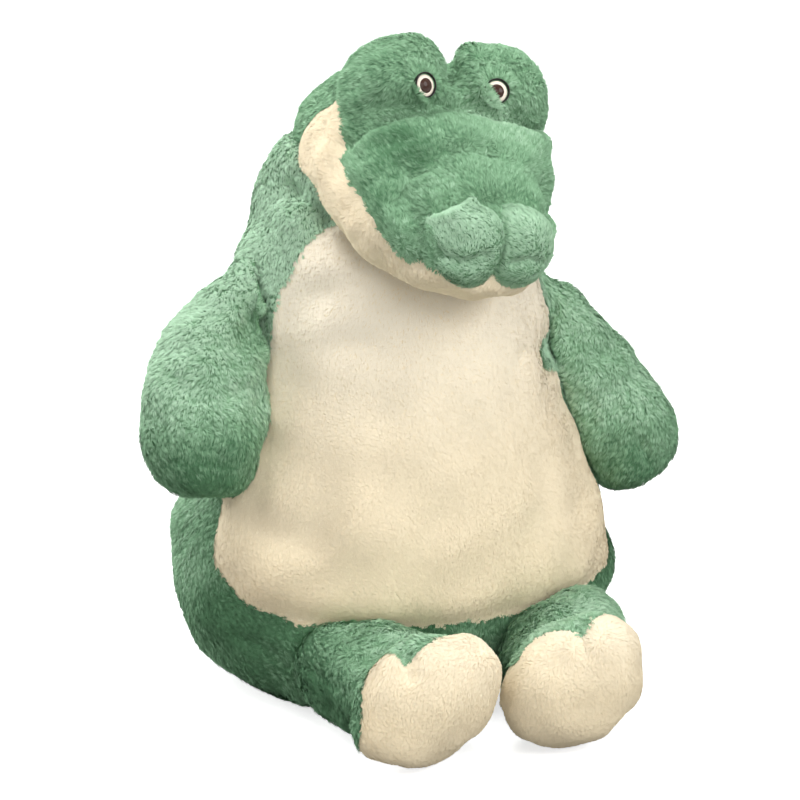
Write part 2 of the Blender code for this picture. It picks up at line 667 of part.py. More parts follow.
sole_line = -FOOT_REACH + SOLE_SEAM_BACK
sole_top = foot_height * 2 + OVERRUN
sole_outline = ((sole_line + SOLE_SEAM_LEAN, -OVERRUN), (sole_line - SOLE_SEAM_LEAN, sole_top),
                (sole_line - deep, sole_top), (sole_line - deep, -OVERRUN))
sole_region = prism("sole_region", sole_outline, wide, "X")
sole_clear = prism("sole_clear", sole_outline, wide + GAP, "X", GAP)
low_outline = ((-deep, -deep), (deep, -deep), (deep, LEG_SEAM_HEIGHT), (-deep, LEG_SEAM_HEIGHT))
leg_low = prism("leg_low", low_outline, wide, "X")
leg_low_clear = prism("leg_low_clear", low_outline, wide + GAP, "X", GAP)
for side_name, side in SIDES.items():
    leg = leg_form(f"{side_name}_leg_form", side_name, 0)
    leg_inside = leg_form(f"{side_name}_leg_inside", side_name, -COVER)
    leg_core = leg_form(f"{side_name}_leg_core", side_name, -COVER - GAP)
    # The torso narrows towards the seat, so the lower half of this seam reaches further back
    torso_width, torso_front, _ = torso_at(LEG_HEIGHT / 2)
    hip_x = HIP_SPREAD[side_name] + LEG_HALF_WIDTH * LEG_SHARES[0][1]
    hip_y = torso_front * math.sqrt(max(1 - (hip_x / torso_width) ** 2, 0))
    leg_pivot = pivot_at(f"{side_name}_leg_pivot", (side * hip_x, -hip_y, LEG_HEIGHT))
    shell = [("DIFFERENCE", leg_inside), ("DIFFERENCE", torso_clear), ("DIFFERENCE", below_seat)]
    piece(f"{side_name}_leg_top_panel", leg,
          shell + [("DIFFERENCE", sole_clear), ("DIFFERENCE", leg_low_clear)], fur, leg_pivot)
    piece(f"{side_name}_leg_bottom_panel", leg,
          shell + [("DIFFERENCE", sole_clear), ("INTERSECT", leg_low)], fur, leg_pivot)
    piece(f"{side_name}_foot_sole", leg, shell + [("INTERSECT", sole_region)], cream_fur, leg_pivot)
    piece(f"{side_name}_leg_filling", leg_core, [("DIFFERENCE", torso_clear), ("DIFFERENCE", below_seat)],
          fibre, leg_pivot)


# Tail
def tail_form(name, grow):
    root = torso_at(TAIL_HEIGHT)[2] - TAIL_IN
    rings = []
    for along, share, drop in TAIL_SHARES:
        centre = Vector((0, root + TAIL_LENGTH * along, TAIL_HEIGHT * (1 - drop)))
        rings.append((centre, ACROSS, UP, TAIL_HALF_WIDTH * share, TAIL_HALF_HEIGHT * share,
                      TAIL_HALF_HEIGHT * share))
    return cage(name, rings, TAIL_SIDES, grow)


tail = tail_form("tail_form", 0)
tail_inside = tail_form("tail_inside", -COVER)
tail_core = tail_form("tail_core", -COVER - GAP)
tail_seam = TAIL_HEIGHT * TAIL_SEAM_SHARE
tail_end = torso_at(TAIL_HEIGHT)[2] - TAIL_IN + TAIL_LENGTH
tail_seam_end = TAIL_HEIGHT * (1 - TAIL_SHARES[-1][2])
tail_outline = ((0, -deep), (deep, -deep), (deep, tail_seam_end), (tail_end, tail_seam_end), (0, tail_seam))
tail_low = prism("tail_low", tail_outline, wide, "X")
tail_low_clear = prism("tail_low_clear", tail_outline, wide + GAP, "X", GAP)
tail_root = TAIL_HEIGHT + TAIL_HALF_HEIGHT * TAIL_SHARES[0][1]
tail_pivot = pivot_at("tail_pivot", (0, torso_at(tail_root)[2], tail_root))
shell = [("DIFFERENCE", tail_inside), ("DIFFERENCE", torso_clear), ("DIFFERENCE", below_seat)]
piece("tail_top_panel", tail, shell + [("DIFFERENCE", tail_low_clear)], fur, tail_pivot)
piece("tail_bottom_panel", tail, shell + [("INTERSECT", tail_low)], fur, tail_pivot)
piece("tail_filling", tail_core, [("DIFFERENCE", torso_clear), ("DIFFERENCE", below_seat)], fibre, tail_pivot)
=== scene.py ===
import json
import math

import bmesh
import bpy
import numpy as np
from mathutils import Matrix, Vector
from mathutils.bvhtree import BVHTree

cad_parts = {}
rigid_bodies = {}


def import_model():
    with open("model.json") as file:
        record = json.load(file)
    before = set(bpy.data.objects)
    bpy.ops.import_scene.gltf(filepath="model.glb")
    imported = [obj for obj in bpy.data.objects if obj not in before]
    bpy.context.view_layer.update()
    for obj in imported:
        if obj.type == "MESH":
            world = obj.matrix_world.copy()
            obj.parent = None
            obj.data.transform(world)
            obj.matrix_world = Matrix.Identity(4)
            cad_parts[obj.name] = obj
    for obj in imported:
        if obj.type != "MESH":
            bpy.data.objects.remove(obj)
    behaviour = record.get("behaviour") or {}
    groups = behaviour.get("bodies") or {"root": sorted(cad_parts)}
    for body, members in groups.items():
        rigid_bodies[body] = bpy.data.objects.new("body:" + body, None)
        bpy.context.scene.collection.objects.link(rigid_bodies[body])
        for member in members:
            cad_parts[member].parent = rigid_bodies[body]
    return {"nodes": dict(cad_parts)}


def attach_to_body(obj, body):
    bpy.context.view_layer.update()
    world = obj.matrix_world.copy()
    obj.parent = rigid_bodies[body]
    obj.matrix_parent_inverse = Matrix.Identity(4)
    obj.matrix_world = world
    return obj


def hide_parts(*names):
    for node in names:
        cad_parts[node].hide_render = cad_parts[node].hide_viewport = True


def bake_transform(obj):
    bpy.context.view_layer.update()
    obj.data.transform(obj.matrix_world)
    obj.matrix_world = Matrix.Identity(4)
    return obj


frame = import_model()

for spare in [o for o in bpy.data.objects if o.name in ("Cube", "Light", "Camera")]:
    bpy.data.objects.remove(spare, do_unlink=True)
bpy.context.view_layer.update()
scene = bpy.context.scene
NODES = frame["nodes"]

# The camera, from the photograph: seen from the toy's right and a little above
AZIMUTH = math.radians(-20)
ELEVATION = math.radians(13)
FIELD = math.radians(16)
# The toy's middle, which the camera and the lamps face
LOOK = Vector((0, 0, 0.25))
DISTANCE = 2.186
SHIFT = (0.011, -0.057)
SENSOR = 36.0
SIDE = 800


def place_camera():
    data = bpy.data.cameras.new("camera")
    data.sensor_width = SENSOR
    data.lens = SENSOR / 2 / math.tan(FIELD / 2)
    data.shift_x, data.shift_y = SHIFT
    camera = bpy.data.objects.new("camera", data)
    back = Vector((math.sin(AZIMUTH) * math.cos(ELEVATION), -math.cos(AZIMUTH) * math.cos(ELEVATION),
                   math.sin(ELEVATION)))
    camera.location = LOOK + back * DISTANCE
    camera.rotation_euler = (-back).to_track_quat("-Z", "Y").to_euler()
    scene.collection.objects.link(camera)
    scene.camera = camera
    bpy.context.view_layer.update()
    return camera


camera = place_camera()


def through(x, y):
    """The line of sight through a place in the photograph, x to the right and y down, out of SIDE."""
    matrix = camera.matrix_world
    across = ((x + 0.5) / SIDE - 0.5 + SHIFT[0]) * SENSOR / camera.data.lens
    rise = (0.5 - (y + 0.5) / SIDE + SHIFT[1]) * SENSOR / camera.data.lens
    way = matrix.to_3x3() @ Vector((across, rise, -1))
    return matrix.translation, way.normalized()


def seen(co):
    """Where points show in the photograph: x to the right and y down, out of SIDE."""
    local = moved(co, camera.matrix_world.inverted())
    flat = local[:, :2] / -local[:, 2:] * camera.data.lens / SENSOR
    return np.column_stack([flat[:, 0] - SHIFT[0] + 0.5, 0.5 + SHIFT[1] - flat[:, 1]]) * SIDE - 0.5


# Meshes as arrays

def read(items, field, width=3, kind=float):
    """One field of every item, a row for each."""
    out = np.empty(len(items) * width, kind)
    items.foreach_get(field, out)
    return out.reshape(-1, width)


def corners(mesh):
    return read(mesh.vertices, "co")


def normals(mesh):
    return read(mesh.vertices, "normal")


def triangles(mesh):
    mesh.calc_loop_triangles()
    return read(mesh.loop_triangles, "vertices", 3, np.int32)


def edge_list(mesh):
    return read(mesh.edges, "vertices", 2, np.int32)


def moved(co, matrix):
    """Points after a matrix."""
    rows = np.array(matrix)
    return co @ rows[:3, :3].T + rows[:3, 3]


def put(mesh, co):
    mesh.vertices.foreach_set("co", np.ascontiguousarray(co).ravel())
    mesh.update()


def unit(rows):
    return rows / np.maximum(np.linalg.norm(rows, axis=1, keepdims=True), 1e-9)


def smoothed(values, edges, times, share=0.5):
    """Values at the vertices, each drawn towards its neighbours' mean."""
    flat = values.reshape(len(values), -1).copy()
    count = np.maximum(np.bincount(edges.ravel(), minlength=len(flat)), 1)
    for _ in range(times):
        for k in range(flat.shape[1]):
            column = flat[:, k]
            total = np.bincount(edges[:, 0], column[edges[:, 1]], len(flat))
            total += np.bincount(edges[:, 1], column[edges[:, 0]], len(flat))
            flat[:, k] = column + (total / count - column) * share
    return flat.reshape(values.shape)


def drift(points, scale, seed, parts=3, waves=12):
    """Smooth noise over space, about -1 to 1: the size of its patches in metres, and the pattern's number."""
    source = np.random.default_rng(seed)
    way = unit(source.normal(size=(waves, 3))) * 2 * np.pi / scale * source.uniform(0.5, 1.5, (waves, 1))
    phase = source.uniform(0, 2 * np.pi, (waves, parts)).astype(np.float32)
    turn = (points @ way.T).astype(np.float32)
    total = np.zeros((len(points), parts), np.float32)
    for k in range(waves):
        total += np.sin(turn[:, k, None] + phase[k])
    return total / math.sqrt(waves / 2)


def eased(share):
    """0 to 1 with a soft start and a soft end."""
    share = np.clip(share, 0, 1)
    return share * share * (3 - 2 * share)


def fade(distance, width):
    """1 on the spot, down to almost 0 at twice the width."""
    return np.exp(-(distance / width) ** 2)


# The stuffed skins

BODIES = {
    "torso": ("body_back_cover", "belly_panel", "seat_panel"),
    "head": ("brow_cover", "snout_cover", "jaw_panel"),
    "nose_right": ("nose_puff_right",),
    "nose_left": ("nose_puff_left",),
    "right_arm": ("right_arm_outer_panel", "right_arm_inner_panel"),
    "left_arm": ("left_arm_outer_panel", "left_arm_inner_panel"),
    "right_leg": ("right_leg_top_panel", "right_leg_bottom_panel", "right_foot_sole"),
    "left_leg": ("left_leg_top_panel", "left_leg_bottom_panel", "left_foot_sole"),
    "tail": ("tail_top_panel", "tail_bottom_panel"),
}
INNER = {
    "torso": ("torso_filling", "bead_pouch_base", "bead_pouch_top", "weighting_beads"),
    "head": ("head_filling", *(f"{side}_eye_{part}" for side in ("right", "left")
                               for part in ("rim", "white", "pupil", "washer"))),
    "nose_right": (),
    "nose_left": (),
    **{limb: (f"{limb}_filling",) for limb in ("right_arm", "left_arm", "right_leg", "left_leg", "tail")},
}
# Each skin: the grid it is remeshed on, its rounds of smoothing, how far it lies inside the CAD surface, which
# leaves room for its pile, and how deep its seams are drawn in
SKIN = {
    "torso": (0.006, 22, 0.0022, 0.0015),
    "head": (0.0040, 9, 0.0022, 0.0020),
    "right_arm": (0.005, 18, 0.0022, 0.0010),
    "left_arm": (0.005, 18, 0.0022, 0.0010),
    "right_leg": (0.0045, 12, 0.0012, 0.0012),
    "left_leg": (0.0045, 12, 0.0012, 0.0012),
    "tail": (0.005, 14, 0.0022, 0.0012),
}
# How far a skin's point may move as it swells, in how many frames, under what pressure, and how far from a seam
# it is held
SWELL = 0.006
FRAMES = 20
PRESSURE = 4
HELD = 0.007
# Rounds in which a skin's depth is evened out, after smoothing it and after swelling it
EVEN = 8
EVEN_SWOLLEN = 60


def new_object(name, mesh):
    obj = bpy.data.objects.new(name, mesh)
    scene.collection.objects.link(obj)
    return obj


def mesh_of(shell, name):
    mesh = bpy.data.meshes.new(name)
    shell.to_mesh(mesh)
    shell.free()
    return mesh


def tree_over(obj):
    graph = bpy.context.evaluated_depsgraph_get()
    graph.update()
    return BVHTree.FromObject(obj, graph)


def apply_modifiers(obj):
    graph = bpy.context.evaluated_depsgraph_get()
    graph.update()
    mesh = bpy.data.meshes.new_from_object(obj.evaluated_get(graph), depsgraph=graph)
    obj.modifiers.clear()
    obj.data = mesh


def keep_largest(mesh):
    """Deletes all of a mesh but its largest connected piece."""
    shell = bmesh.new()
    shell.from_mesh(mesh)
    left = set(shell.verts)
    best = []
    while left:
        island = [left.pop()]
        for vert in island:
            near = {link.other_vert(vert) for link in vert.link_edges} & left
            left -= near
            island.extend(near)
        best = max(best, island, key=len)
    best = set(best)
    bmesh.ops.delete(shell, geom=[v for v in shell.verts if v not in best], context="VERTS")
    shell.to_mesh(mesh)
    shell.free()


def remeshed(obj, grid):
    """Turns an object into one closed surface on a grid."""
    form = obj.modifiers.new("Weave", "REMESH")
    form.mode = "VOXEL"
    form.voxel_size = grid
    apply_modifiers(obj)
    keep_largest(obj.data)


def joined(name, meshes, ball=None):
    """One new object made of several meshes, and of a ball on a shoulder."""
    shell = bmesh.new()
    for mesh in meshes:
        shell.from_mesh(mesh)
    if ball:
        bmesh.ops.create_icosphere(shell, subdivisions=4, radius=SHOULDER, matrix=Matrix.Translation(ball))
    whole = mesh_of(shell, name)
    whole.materials.clear()
    return new_object(name, whole)


def tree_of(node):
    mesh = NODES[node].data
    return BVHTree.FromPolygons([v.co for v in mesh.vertices], [list(p.vertices) for p in mesh.polygons])


def fields_of(body, co):
    """For each point, how far away each of the body's panels is."""
    trees = [tree_of(node) for node in BODIES[body]]
    far = np.array([[tree.find_nearest(Vector(p))[3] for tree in trees] for p in co])
    far = far.reshape(len(co), len(trees))
    if len(trees) == 1:
        return far
    # Measured along the skin, and negative on a panel's own ground, so that it runs evenly through a seam
    least = far.min(axis=1, keepdims=True)
    aside = np.sqrt(np.maximum(far ** 2 - least ** 2, 0))
    own = np.argmin(far, axis=1)
    rows = np.arange(len(co))
    order = np.sort(aside, axis=1)
    aside[rows, own] = -order[:, 1]
    return aside


def beside(far):
    """How far a point is from the nearest seam, from its distances to the panels."""
    if far.shape[1] == 1:
        return np.full(len(far), 1.0)
    return np.sort(far, axis=1)[:, 1]


def fitted(obj, outside, rounds, times, inset):
    """The skin smoothed, then moved until it lies inset below the CAD surface on the whole."""
    co = corners(obj.data)
    edges = edge_list(obj.data)
    for _ in range(times):
        co = smoothed(co, edges, rounds)
        put(obj.data, co)
        out = normals(obj.data)
        depth = np.empty(len(co))
        for index, place in enumerate(co):
            spot, normal, _, distance = outside.find_nearest(Vector(place))
            depth[index] = distance if (Vector(place) - spot).dot(normal) < 0 else -distance
        depth = smoothed(depth, edges, EVEN if rounds else EVEN_SWOLLEN)
        co = co + out * (depth - inset)[:, None]
        put(obj.data, co)


def swollen(obj, held):
    """The skin puffed out by cloth under pressure, held along its seams."""
    before = corners(obj.data)
    group = obj.vertex_groups.new(name="held")
    for index, share in enumerate(held):
        if share > 0.02:
            group.add([index], float(share), "REPLACE")
    cloth = obj.modifiers.new("Stuffing", "CLOTH")
    cloth.settings.quality = 4
    cloth.settings.mass = 0.3
    cloth.settings.tension_stiffness = 12
    cloth.settings.compression_stiffness = 12
    cloth.settings.bending_stiffness = 0.4
    cloth.settings.use_pressure = True
    cloth.settings.uniform_pressure_force = PRESSURE
    cloth.settings.shrink_min = -0.07
    cloth.settings.effector_weights.gravity = 0
    cloth.settings.vertex_group_mass = group.name
    cloth.collision_settings.use_collision = False
    cloth.point_cache.frame_start = 1
    cloth.point_cache.frame_end = FRAMES
    for number in range(1, FRAMES + 1):
        scene.frame_set(number)
    apply_modifiers(obj)
    scene.frame_set(1)
    obj.vertex_groups.clear()
    move = corners(obj.data) - before
    far = np.maximum(np.linalg.norm(move, axis=1, keepdims=True), 1e-9)
    put(obj.data, before + move * np.minimum(1, SWELL / far))


# The round end of each arm inside its shoulder, on which it turns
SHOULDERS = {"right_arm": (-0.1030, -0.002, 0.342), "left_arm": (0.1060, -0.002, 0.307)}
SHOULDER = 0.020


def skin_of(body):
    """One closed skin over a body's stuffed form, rounded, swollen between its seams and drawn in."""
    obj = joined(f"{body}_skin", [NODES[node].data for node in BODIES[body] + INNER[body]], SHOULDERS.get(body))
    grid, rounds, inset, _ = SKIN[body]
    remeshed(obj, grid)
    outside = tree_over(obj)
    fitted(obj, outside, rounds, 2, inset)
    gap = beside(fields_of(body, corners(obj.data)))
    swollen(obj, fade(gap, HELD))
    fitted(obj, outside, 0, 1, inset)
    put(obj.data, smoothed(corners(obj.data), edge_list(obj.data), rounds // 3))
    return obj


# The head's own frame, turned, and leant about the neck
NECK = Vector((0, 0, 0.381))
HEAD_TURN = math.radians(7)
HEAD_LEAN = math.radians(8)
HEAD_FRAME = (Matrix.Rotation(HEAD_TURN, 4, "Z") @ Matrix.Translation(NECK)
              @ Matrix.Rotation(HEAD_LEAN, 4, "Y") @ Matrix.Translation(-NECK))
# The nose puffs in it: how far to the side, forward and up, and half sizes
PUFF = (0.0200, 0.158, 0.3626)
PUFF_HALVES = (0.0272, 0.0268, 0.0286)
# How far a puff's top edge comes forward and rises, right and left, as shares of its half sizes
PUFF_FORWARD = 0.35
PUFF_RISE = {-1: 0.30, 1: 0.12}
# How near the middle plane a puff is pressed, and the share of what lies past it that is left
PUFF_GAP = 0.004
PUFF_LEFT = 0.25


def puff_skin(name, side):
    """One nose puff: a full ball, its top edge turned up and its inner side pressed flat on the other's."""
    shell = bmesh.new()
    bmesh.ops.create_icosphere(shell, subdivisions=5, radius=1)
    mesh = mesh_of(shell, f"{name}_skin")
    co = corners(mesh)
    ridge = np.clip(co[:, 2], 0, 1) * np.clip(-co[:, 1], 0, 1)
    co[:, 1] -= ridge * PUFF_FORWARD
    co[:, 2] += ridge * PUFF_RISE[side]
    co = co * np.array(PUFF_HALVES) + np.array((side * PUFF[0], -PUFF[1], PUFF[2]))
    flat = side * co[:, 0]
    co[:, 0] = side * np.where(flat < PUFF_GAP, PUFF_GAP + (flat - PUFF_GAP) * PUFF_LEFT, flat)
    put(mesh, moved(co, HEAD_FRAME))
    return new_object(f"{name}_skin", mesh)


# How wide a seam is drawn in, and the lumps of the stuffing: their height and size
SEAM_WIDTH = 0.006
LUMP = 0.0010
LUMP_SIZE = 0.045


def eye_frame(side):
    """An eye's place and the way it faces, from its CAD rim."""
    co = corners(NODES[f"{side}_eye_rim"].data)
    centre = co.mean(0)
    out = np.linalg.eigh(np.cov((co - centre).T))[1][:, 0]
    out = out if out[1] < 0 else -out
    return centre + out * ((co - centre) @ out).min(), out


EYES = {side: eye_frame(side) for side in ("right", "left")}

# Each eye: how near its middle a blade may root, from which way fur is laid over it, and how near the middle
# that fur comes
EYE_FUR = {"right": (0.0090, (-0.75, 0, -0.65), 0.0060), "left": (0.0088, (-0.88, 0, -0.48), 0.0014)}
# The ring in which the skin is raised round an eye: its radius and width, its height, and what the laid fur adds
RAISED = 0.0125
RAISED_WIDTH = 0.0050
RAISED_HEIGHT = 0.0022
RAISED_MORE = 0.0012
# Fur laid over an eye: how much denser, how far out it roots and how far behind its tips, its height, how much
# lower it ends, and from where out its heights differ
LAID_DENSER = 2.5
LAID_REACH = 0.0125
LAID_BEHIND = 0.0034
LAID_HEIGHT = 0.0047
LAID_FALL = 0.0023
LAID_RAGGED = 0.0092


def laid_share(side, ray, reach):
    """1 where the fur is laid over an eye's rim, down to 0 a quarter turn away."""
    laid = np.array(EYE_FUR[side][1]) / np.linalg.norm(EYE_FUR[side][1])
    return np.clip((ray @ laid) / np.maximum(reach, 1e-6), 0, 1) ** 2


def socketed(co, out):
    """The head's skin raised a little in a ring round each eye, so that the fur stands level with its rim."""
    for side, (centre, way) in EYES.items():
        ray = co - centre
        height = ray @ way
        reach = np.linalg.norm(ray - np.outer(height, way), axis=1)
        lift = fade(reach - RAISED, RAISED_WIDTH) * (np.abs(height) < 0.02) * (out @ way > 0.2)
        over = laid_share(side, ray, reach)
        co = co + np.array(way) * (lift * (RAISED_HEIGHT + RAISED_MORE * over))[:, None]
    return co


def laid_over(side, density, source):
    """Roots of the fur that lies over an eye: their places, the surface's normals and the way they are brushed."""
    centre, way = EYES[side]
    _, laid, edge = EYE_FUR[side]
    laid = np.array(laid) - way * (np.array(laid) @ way)
    laid /= np.linalg.norm(laid)
    aside = np.cross(way, laid)
    count = int(density * 4 * LAID_REACH ** 2)
    u, v = source.uniform(-LAID_REACH, LAID_REACH, (2, count))
    reach = np.hypot(u, v)
    on = (u > edge + LAID_BEHIND) & (reach < LAID_REACH)
    u, v, reach = u[on, None], v[on, None], reach[on, None]
    height = LAID_HEIGHT - LAID_FALL * eased((reach - 0.0040) / 0.0085)
    height = np.where(reach > LAID_RAGGED, height * source.uniform(0.3, 1, height.shape), height)
    place = centre + laid * u + aside * v + way * height
    return place, unit(way + (laid * u + aside * v) * 60), np.tile(-laid * 3, (len(u), 1))


# Creases, each: body, depth, width, and the places it passes in the photograph
CREASES = (
    ("head", 0.0095, 0.0080, ((346, 143), (356, 132), (372, 120), (392, 110), (420, 102), (450, 101), (475, 104),
                              (492, 109), (512, 116), (530, 130), (546, 146))),
    ("head", 0.0065, 0.0060, ((391, 202), (401, 196), (403, 186), (409, 174), (426, 167), (435, 160), (451, 149),
                              (471, 147), (491, 150))),
    ("head", 0.0040, 0.0100, ((491, 150), (512, 158), (532, 172))),
    ("head", 0.0060, 0.0080, ((418, 265), (414, 240), (420, 218), (440, 206), (470, 198), (500, 200), (525, 198))),
    ("head", 0.0080, 0.0080, ((452, 30), (451, 45), (450, 62), (449, 78))),
    ("nose_right", 0.0055, 0.0050, ((420, 228), (428, 244), (442, 257), (460, 264), (476, 262), (486, 256))),
    ("nose_right", 0.0040, 0.0050, ((432, 210), (446, 208), (458, 202))),
    ("nose_left", 0.0045, 0.0040, ((516, 264), (530, 260), (546, 263))),
    ("torso", 0.0040, 0.0090, ((548, 345), (540, 350), (525, 352))),
    ("torso", 0.0120, 0.0090, ((290, 188), (303, 198), (322, 214))),
    ("right_arm", 0.0070, 0.0150, ((272, 312), (258, 322), (246, 334), (236, 344))),
    ("right_arm", 0.0040, 0.0060, ((259, 398), (256, 388), (248, 385), (240, 388), (234, 394))),
    ("left_arm", 0.0040, 0.0070, ((592, 402), (608, 390), (628, 378))),
    ("right_leg", 0.0050, 0.0070, ((407, 658), (409, 672))),
    ("left_leg", 0.0045, 0.0060, ((583, 634), (585, 650))),
    # Fuller places, with a depth below zero, and hollows
    ("nose_right", -0.0035, 0.0045, ((420, 222), (437, 221), (452, 217), (466, 210), (473, 203), (484, 206),
                                     (496, 211))),
    ("right_arm", -0.0050, 0.0200, ((270, 345), (272, 385), (270, 430))),
    ("head", -0.0070, 0.0180, ((524, 100), (530, 116), (533, 132))),
    ("head", -0.0055, 0.0160, ((538, 140), (541, 160))),
    ("head", -0.0040, 0.0160, ((520, 58), (534, 80))),
    ("head", -0.0065, 0.0140, ((414, 42), (426, 50), (434, 62))),
    ("head", 0.0050, 0.0140, ((380, 40), (396, 35))),
    ("head", 0.0060, 0.0150, ((350, 62), (358, 50), (368, 42))),
    ("head", -0.0040, 0.0110, ((462, 54), (468, 47))),
    ("head", 0.0020, 0.0140, ((488, 43), (496, 43))),
    ("right_leg", -0.0085, 0.0180, ((474, 650), (486, 664))),
    ("head", 0.0090, 0.0120, ((547, 188), (549, 202), (550, 218))),
    ("nose_left", 0.0050, 0.0120, ((549, 204), (551, 220))),
    ("torso", -0.0045, 0.0200, ((292, 140), (284, 152))),
    ("torso", -0.0060, 0.0200, ((250, 252), (244, 262))),
    ("right_arm", -0.0065, 0.0240, ((176, 330), (162, 360), (154, 395), (152, 430))),
    ("left_arm", -0.0060, 0.0220, ((662, 418), (664, 442), (656, 460), (640, 472))),
    ("left_arm", -0.0080, 0.0200, ((568, 298), (552, 286))),
    ("left_leg", -0.0090, 0.0240, ((594, 604), (606, 616), (612, 632))),
    ("torso", -0.0070, 0.0260, ((598, 570), (602, 590))),
    ("torso", -0.0060, 0.0220, ((184, 508), (186, 520))),
    ("torso", -0.0080, 0.0240, ((262, 672), (280, 682), (296, 688))),
    ("right_leg", 0.0095, 0.0160, ((328, 712), (344, 724), (352, 728))),
    ("torso", 0.0045, 0.0045, ((236, 634), (262, 648), (285, 664))),
    ("right_leg", 0.0045, 0.0045, ((300, 664), (325, 678), (345, 692))),
    ("left_arm", 0.0045, 0.0060, ((640, 440), (650, 458))),
    ("right_leg", -0.0060, 0.0160, ((376, 746), (388, 754))),
    ("right_leg", 0.0050, 0.0200, ((448, 754), (460, 740))),
)

# Where one stuffed form flows into the next without a crease: a centre and a radius
FLOWS = (
    ((-0.122, -0.020, 0.325), 0.075),
    ((0.124, -0.008, 0.296), 0.065),
    ((-0.010, 0.085, 0.385), 0.085),
    ((-0.112, -0.088, 0.045), 0.066),
    ((0.128, -0.072, 0.045), 0.062),
    ((0.0, 0.125, 0.060), 0.060),
)
# The common surface's grid and rounds of smoothing, and how far off it pulls points, from inside and outside
FLOW_GRID = 0.005
FLOW_ROUNDS = 45
PULL_INSIDE = 0.012
PULL_OUTSIDE = 0.030
# No crease comes nearer an eye's middle than this, and past that it fades in over the second
EYE_CLEAR = 0.009
EYE_FADE = 0.010


def carve(obj, places, depth, width):
    """A furrow along a line of places in the photograph, laid on the skin that they fall on."""
    tree = tree_over(obj)
    line = []
    steps = 6
    for first, second in zip(places, places[1:]):
        for step in range(steps + 1):
            mix = step / steps
            origin, way = through(first[0] + (second[0] - first[0]) * mix, first[1] + (second[1] - first[1]) * mix)
            spot = tree.ray_cast(origin, way)[0]
            if spot is not None:
                line.append(np.array(spot))
    co = corners(obj.data)
    near = np.full(len(co), 1.0)
    for spot in line:
        near = np.minimum(near, np.linalg.norm(co - spot, axis=1))
    share = fade(near, width)
    if obj.name.startswith("head"):
        for centre, _ in EYES.values():
            share *= eased((np.linalg.norm(co - centre, axis=1) - EYE_CLEAR) / EYE_FADE)
    put(obj.data, co - normals(obj.data) * (share * depth)[:, None])


def flow_share(co):
    share = np.zeros(len(co))
    for centre, radius in FLOWS:
        share = np.maximum(share, eased(1.6 * (1 - np.linalg.norm(co - np.array(centre), axis=1) / radius)))
    return share


def flow_together(bodies):
    """Draws the skins onto one rounded surface over them all, at the places in FLOWS."""
    obj = joined("flow", [skins[body].data for body in bodies])
    remeshed(obj, FLOW_GRID)
    co = corners(obj.data)
    edges = edge_list(obj.data)
    share = flow_share(co)[:, None]
    for _ in range(FLOW_ROUNDS):
        co = co + (smoothed(co, edges, 1) - co) * share
    put(obj.data, co)
    tree = tree_over(obj)
    for body in bodies:
        co = corners(skins[body].data)
        share = flow_share(co)
        for index in np.flatnonzero(share > 0.01):
            spot, normal, _, distance = tree.find_nearest(Vector(co[index]))
            reach = PULL_INSIDE if (Vector(co[index]) - spot).dot(normal) < 0 else PULL_OUTSIDE
            co[index] += (np.array(spot) - co[index]) * share[index] * eased(1.4 * (1 - distance / reach))
        put(skins[body].data, co)
    bpy.data.objects.remove(obj, do_unlink=True)


def subdivided(obj):
    step = obj.modifiers.new("Rounding", "SUBSURF")
    step.levels = 1
    step.render_levels = 1
    apply_modifiers(obj)


# Edges of cream panels as the photograph shows them, green on the left as they run: the panel, how far from the
# line it counts, and the places it passes
EDGES = {
    "torso": ("belly_panel", 0.018, ((547, 262), (556, 285), (560, 303), (556, 320), (549, 335), (545, 352))),
    "right_leg": ("right_foot_sole", 0.042, (
        (362, 742), (361, 705), (366, 673), (375, 654), (390, 651), (407, 661), (421, 649), (436, 641), (464, 633),
        (475, 640), (480, 653), (498, 656), (505, 665), (510, 676))),
    "left_leg": ("left_foot_sole", 0.042, (
        (502, 676), (505, 664), (519, 663), (523, 648), (537, 636), (552, 631), (575, 633), (583, 640), (589, 628),
        (603, 620), (623, 618), (634, 627), (642, 645))),
}
# How large one pixel of the photograph is on the toy, how far from its panel the cream may reach, and over what
# length a line's hold ends
STEP = 0.0007
CREAM_REACH = 0.011
EDGE_FADE = 0.012
# The soft wander of every panel's edge: its size and how far it goes
WANDER_SIZE = 0.030
WANDER = 0.0006


def beyond(places, line):
    """How far each place lies to the right of a line of points as it runs, on the photograph."""
    best = np.full(len(places), np.inf)
    square = np.zeros(len(places))
    for first, second in zip(np.array(line, float), np.array(line[1:], float)):
        run = second - first
        ray = places - first
        share = np.clip(ray @ run / (run @ run), 0, 1)
        far = np.linalg.norm(ray - np.outer(share, run), axis=1)
        offset = (run[0] * ray[:, 1] - run[1] * ray[:, 0]) / np.linalg.norm(run)
        # Past a corner two stretches are as near, and the one faced more squarely says which side it is
        nearer = (far < best - 1e-6) | ((far < best + 1e-6) & (np.abs(offset) > np.abs(square)))
        best[nearer] = far[nearer]
        square[nearer] = offset[nearer]
    return best * np.sign(square)


def shifted(body, co, out, far):
    """The panels' distances, the edges in EDGES laid as the photograph shows them, with a soft wander."""
    if body in EDGES:
        panel, reach, line = EDGES[body]
        own = BODIES[body].index(panel)
        past = beyond(seen(co), line) * STEP
        inside = np.minimum(past, CREAM_REACH - far[:, own])
        # The line holds where the skin doesn't face well away from the camera
        facing = np.sum(out * unit(np.array(camera.location) - co), axis=1)
        share = eased((facing + 0.5) / 0.3) * eased((reach - np.abs(past)) / EDGE_FADE)
        laid = far - np.delete(far, own, axis=1).min(axis=1, keepdims=True) + inside[:, None]
        laid[:, own] = -inside
        far = far + (laid - far) * share[:, None]
    return far + drift(co, WANDER_SIZE, 31, far.shape[1]) * WANDER


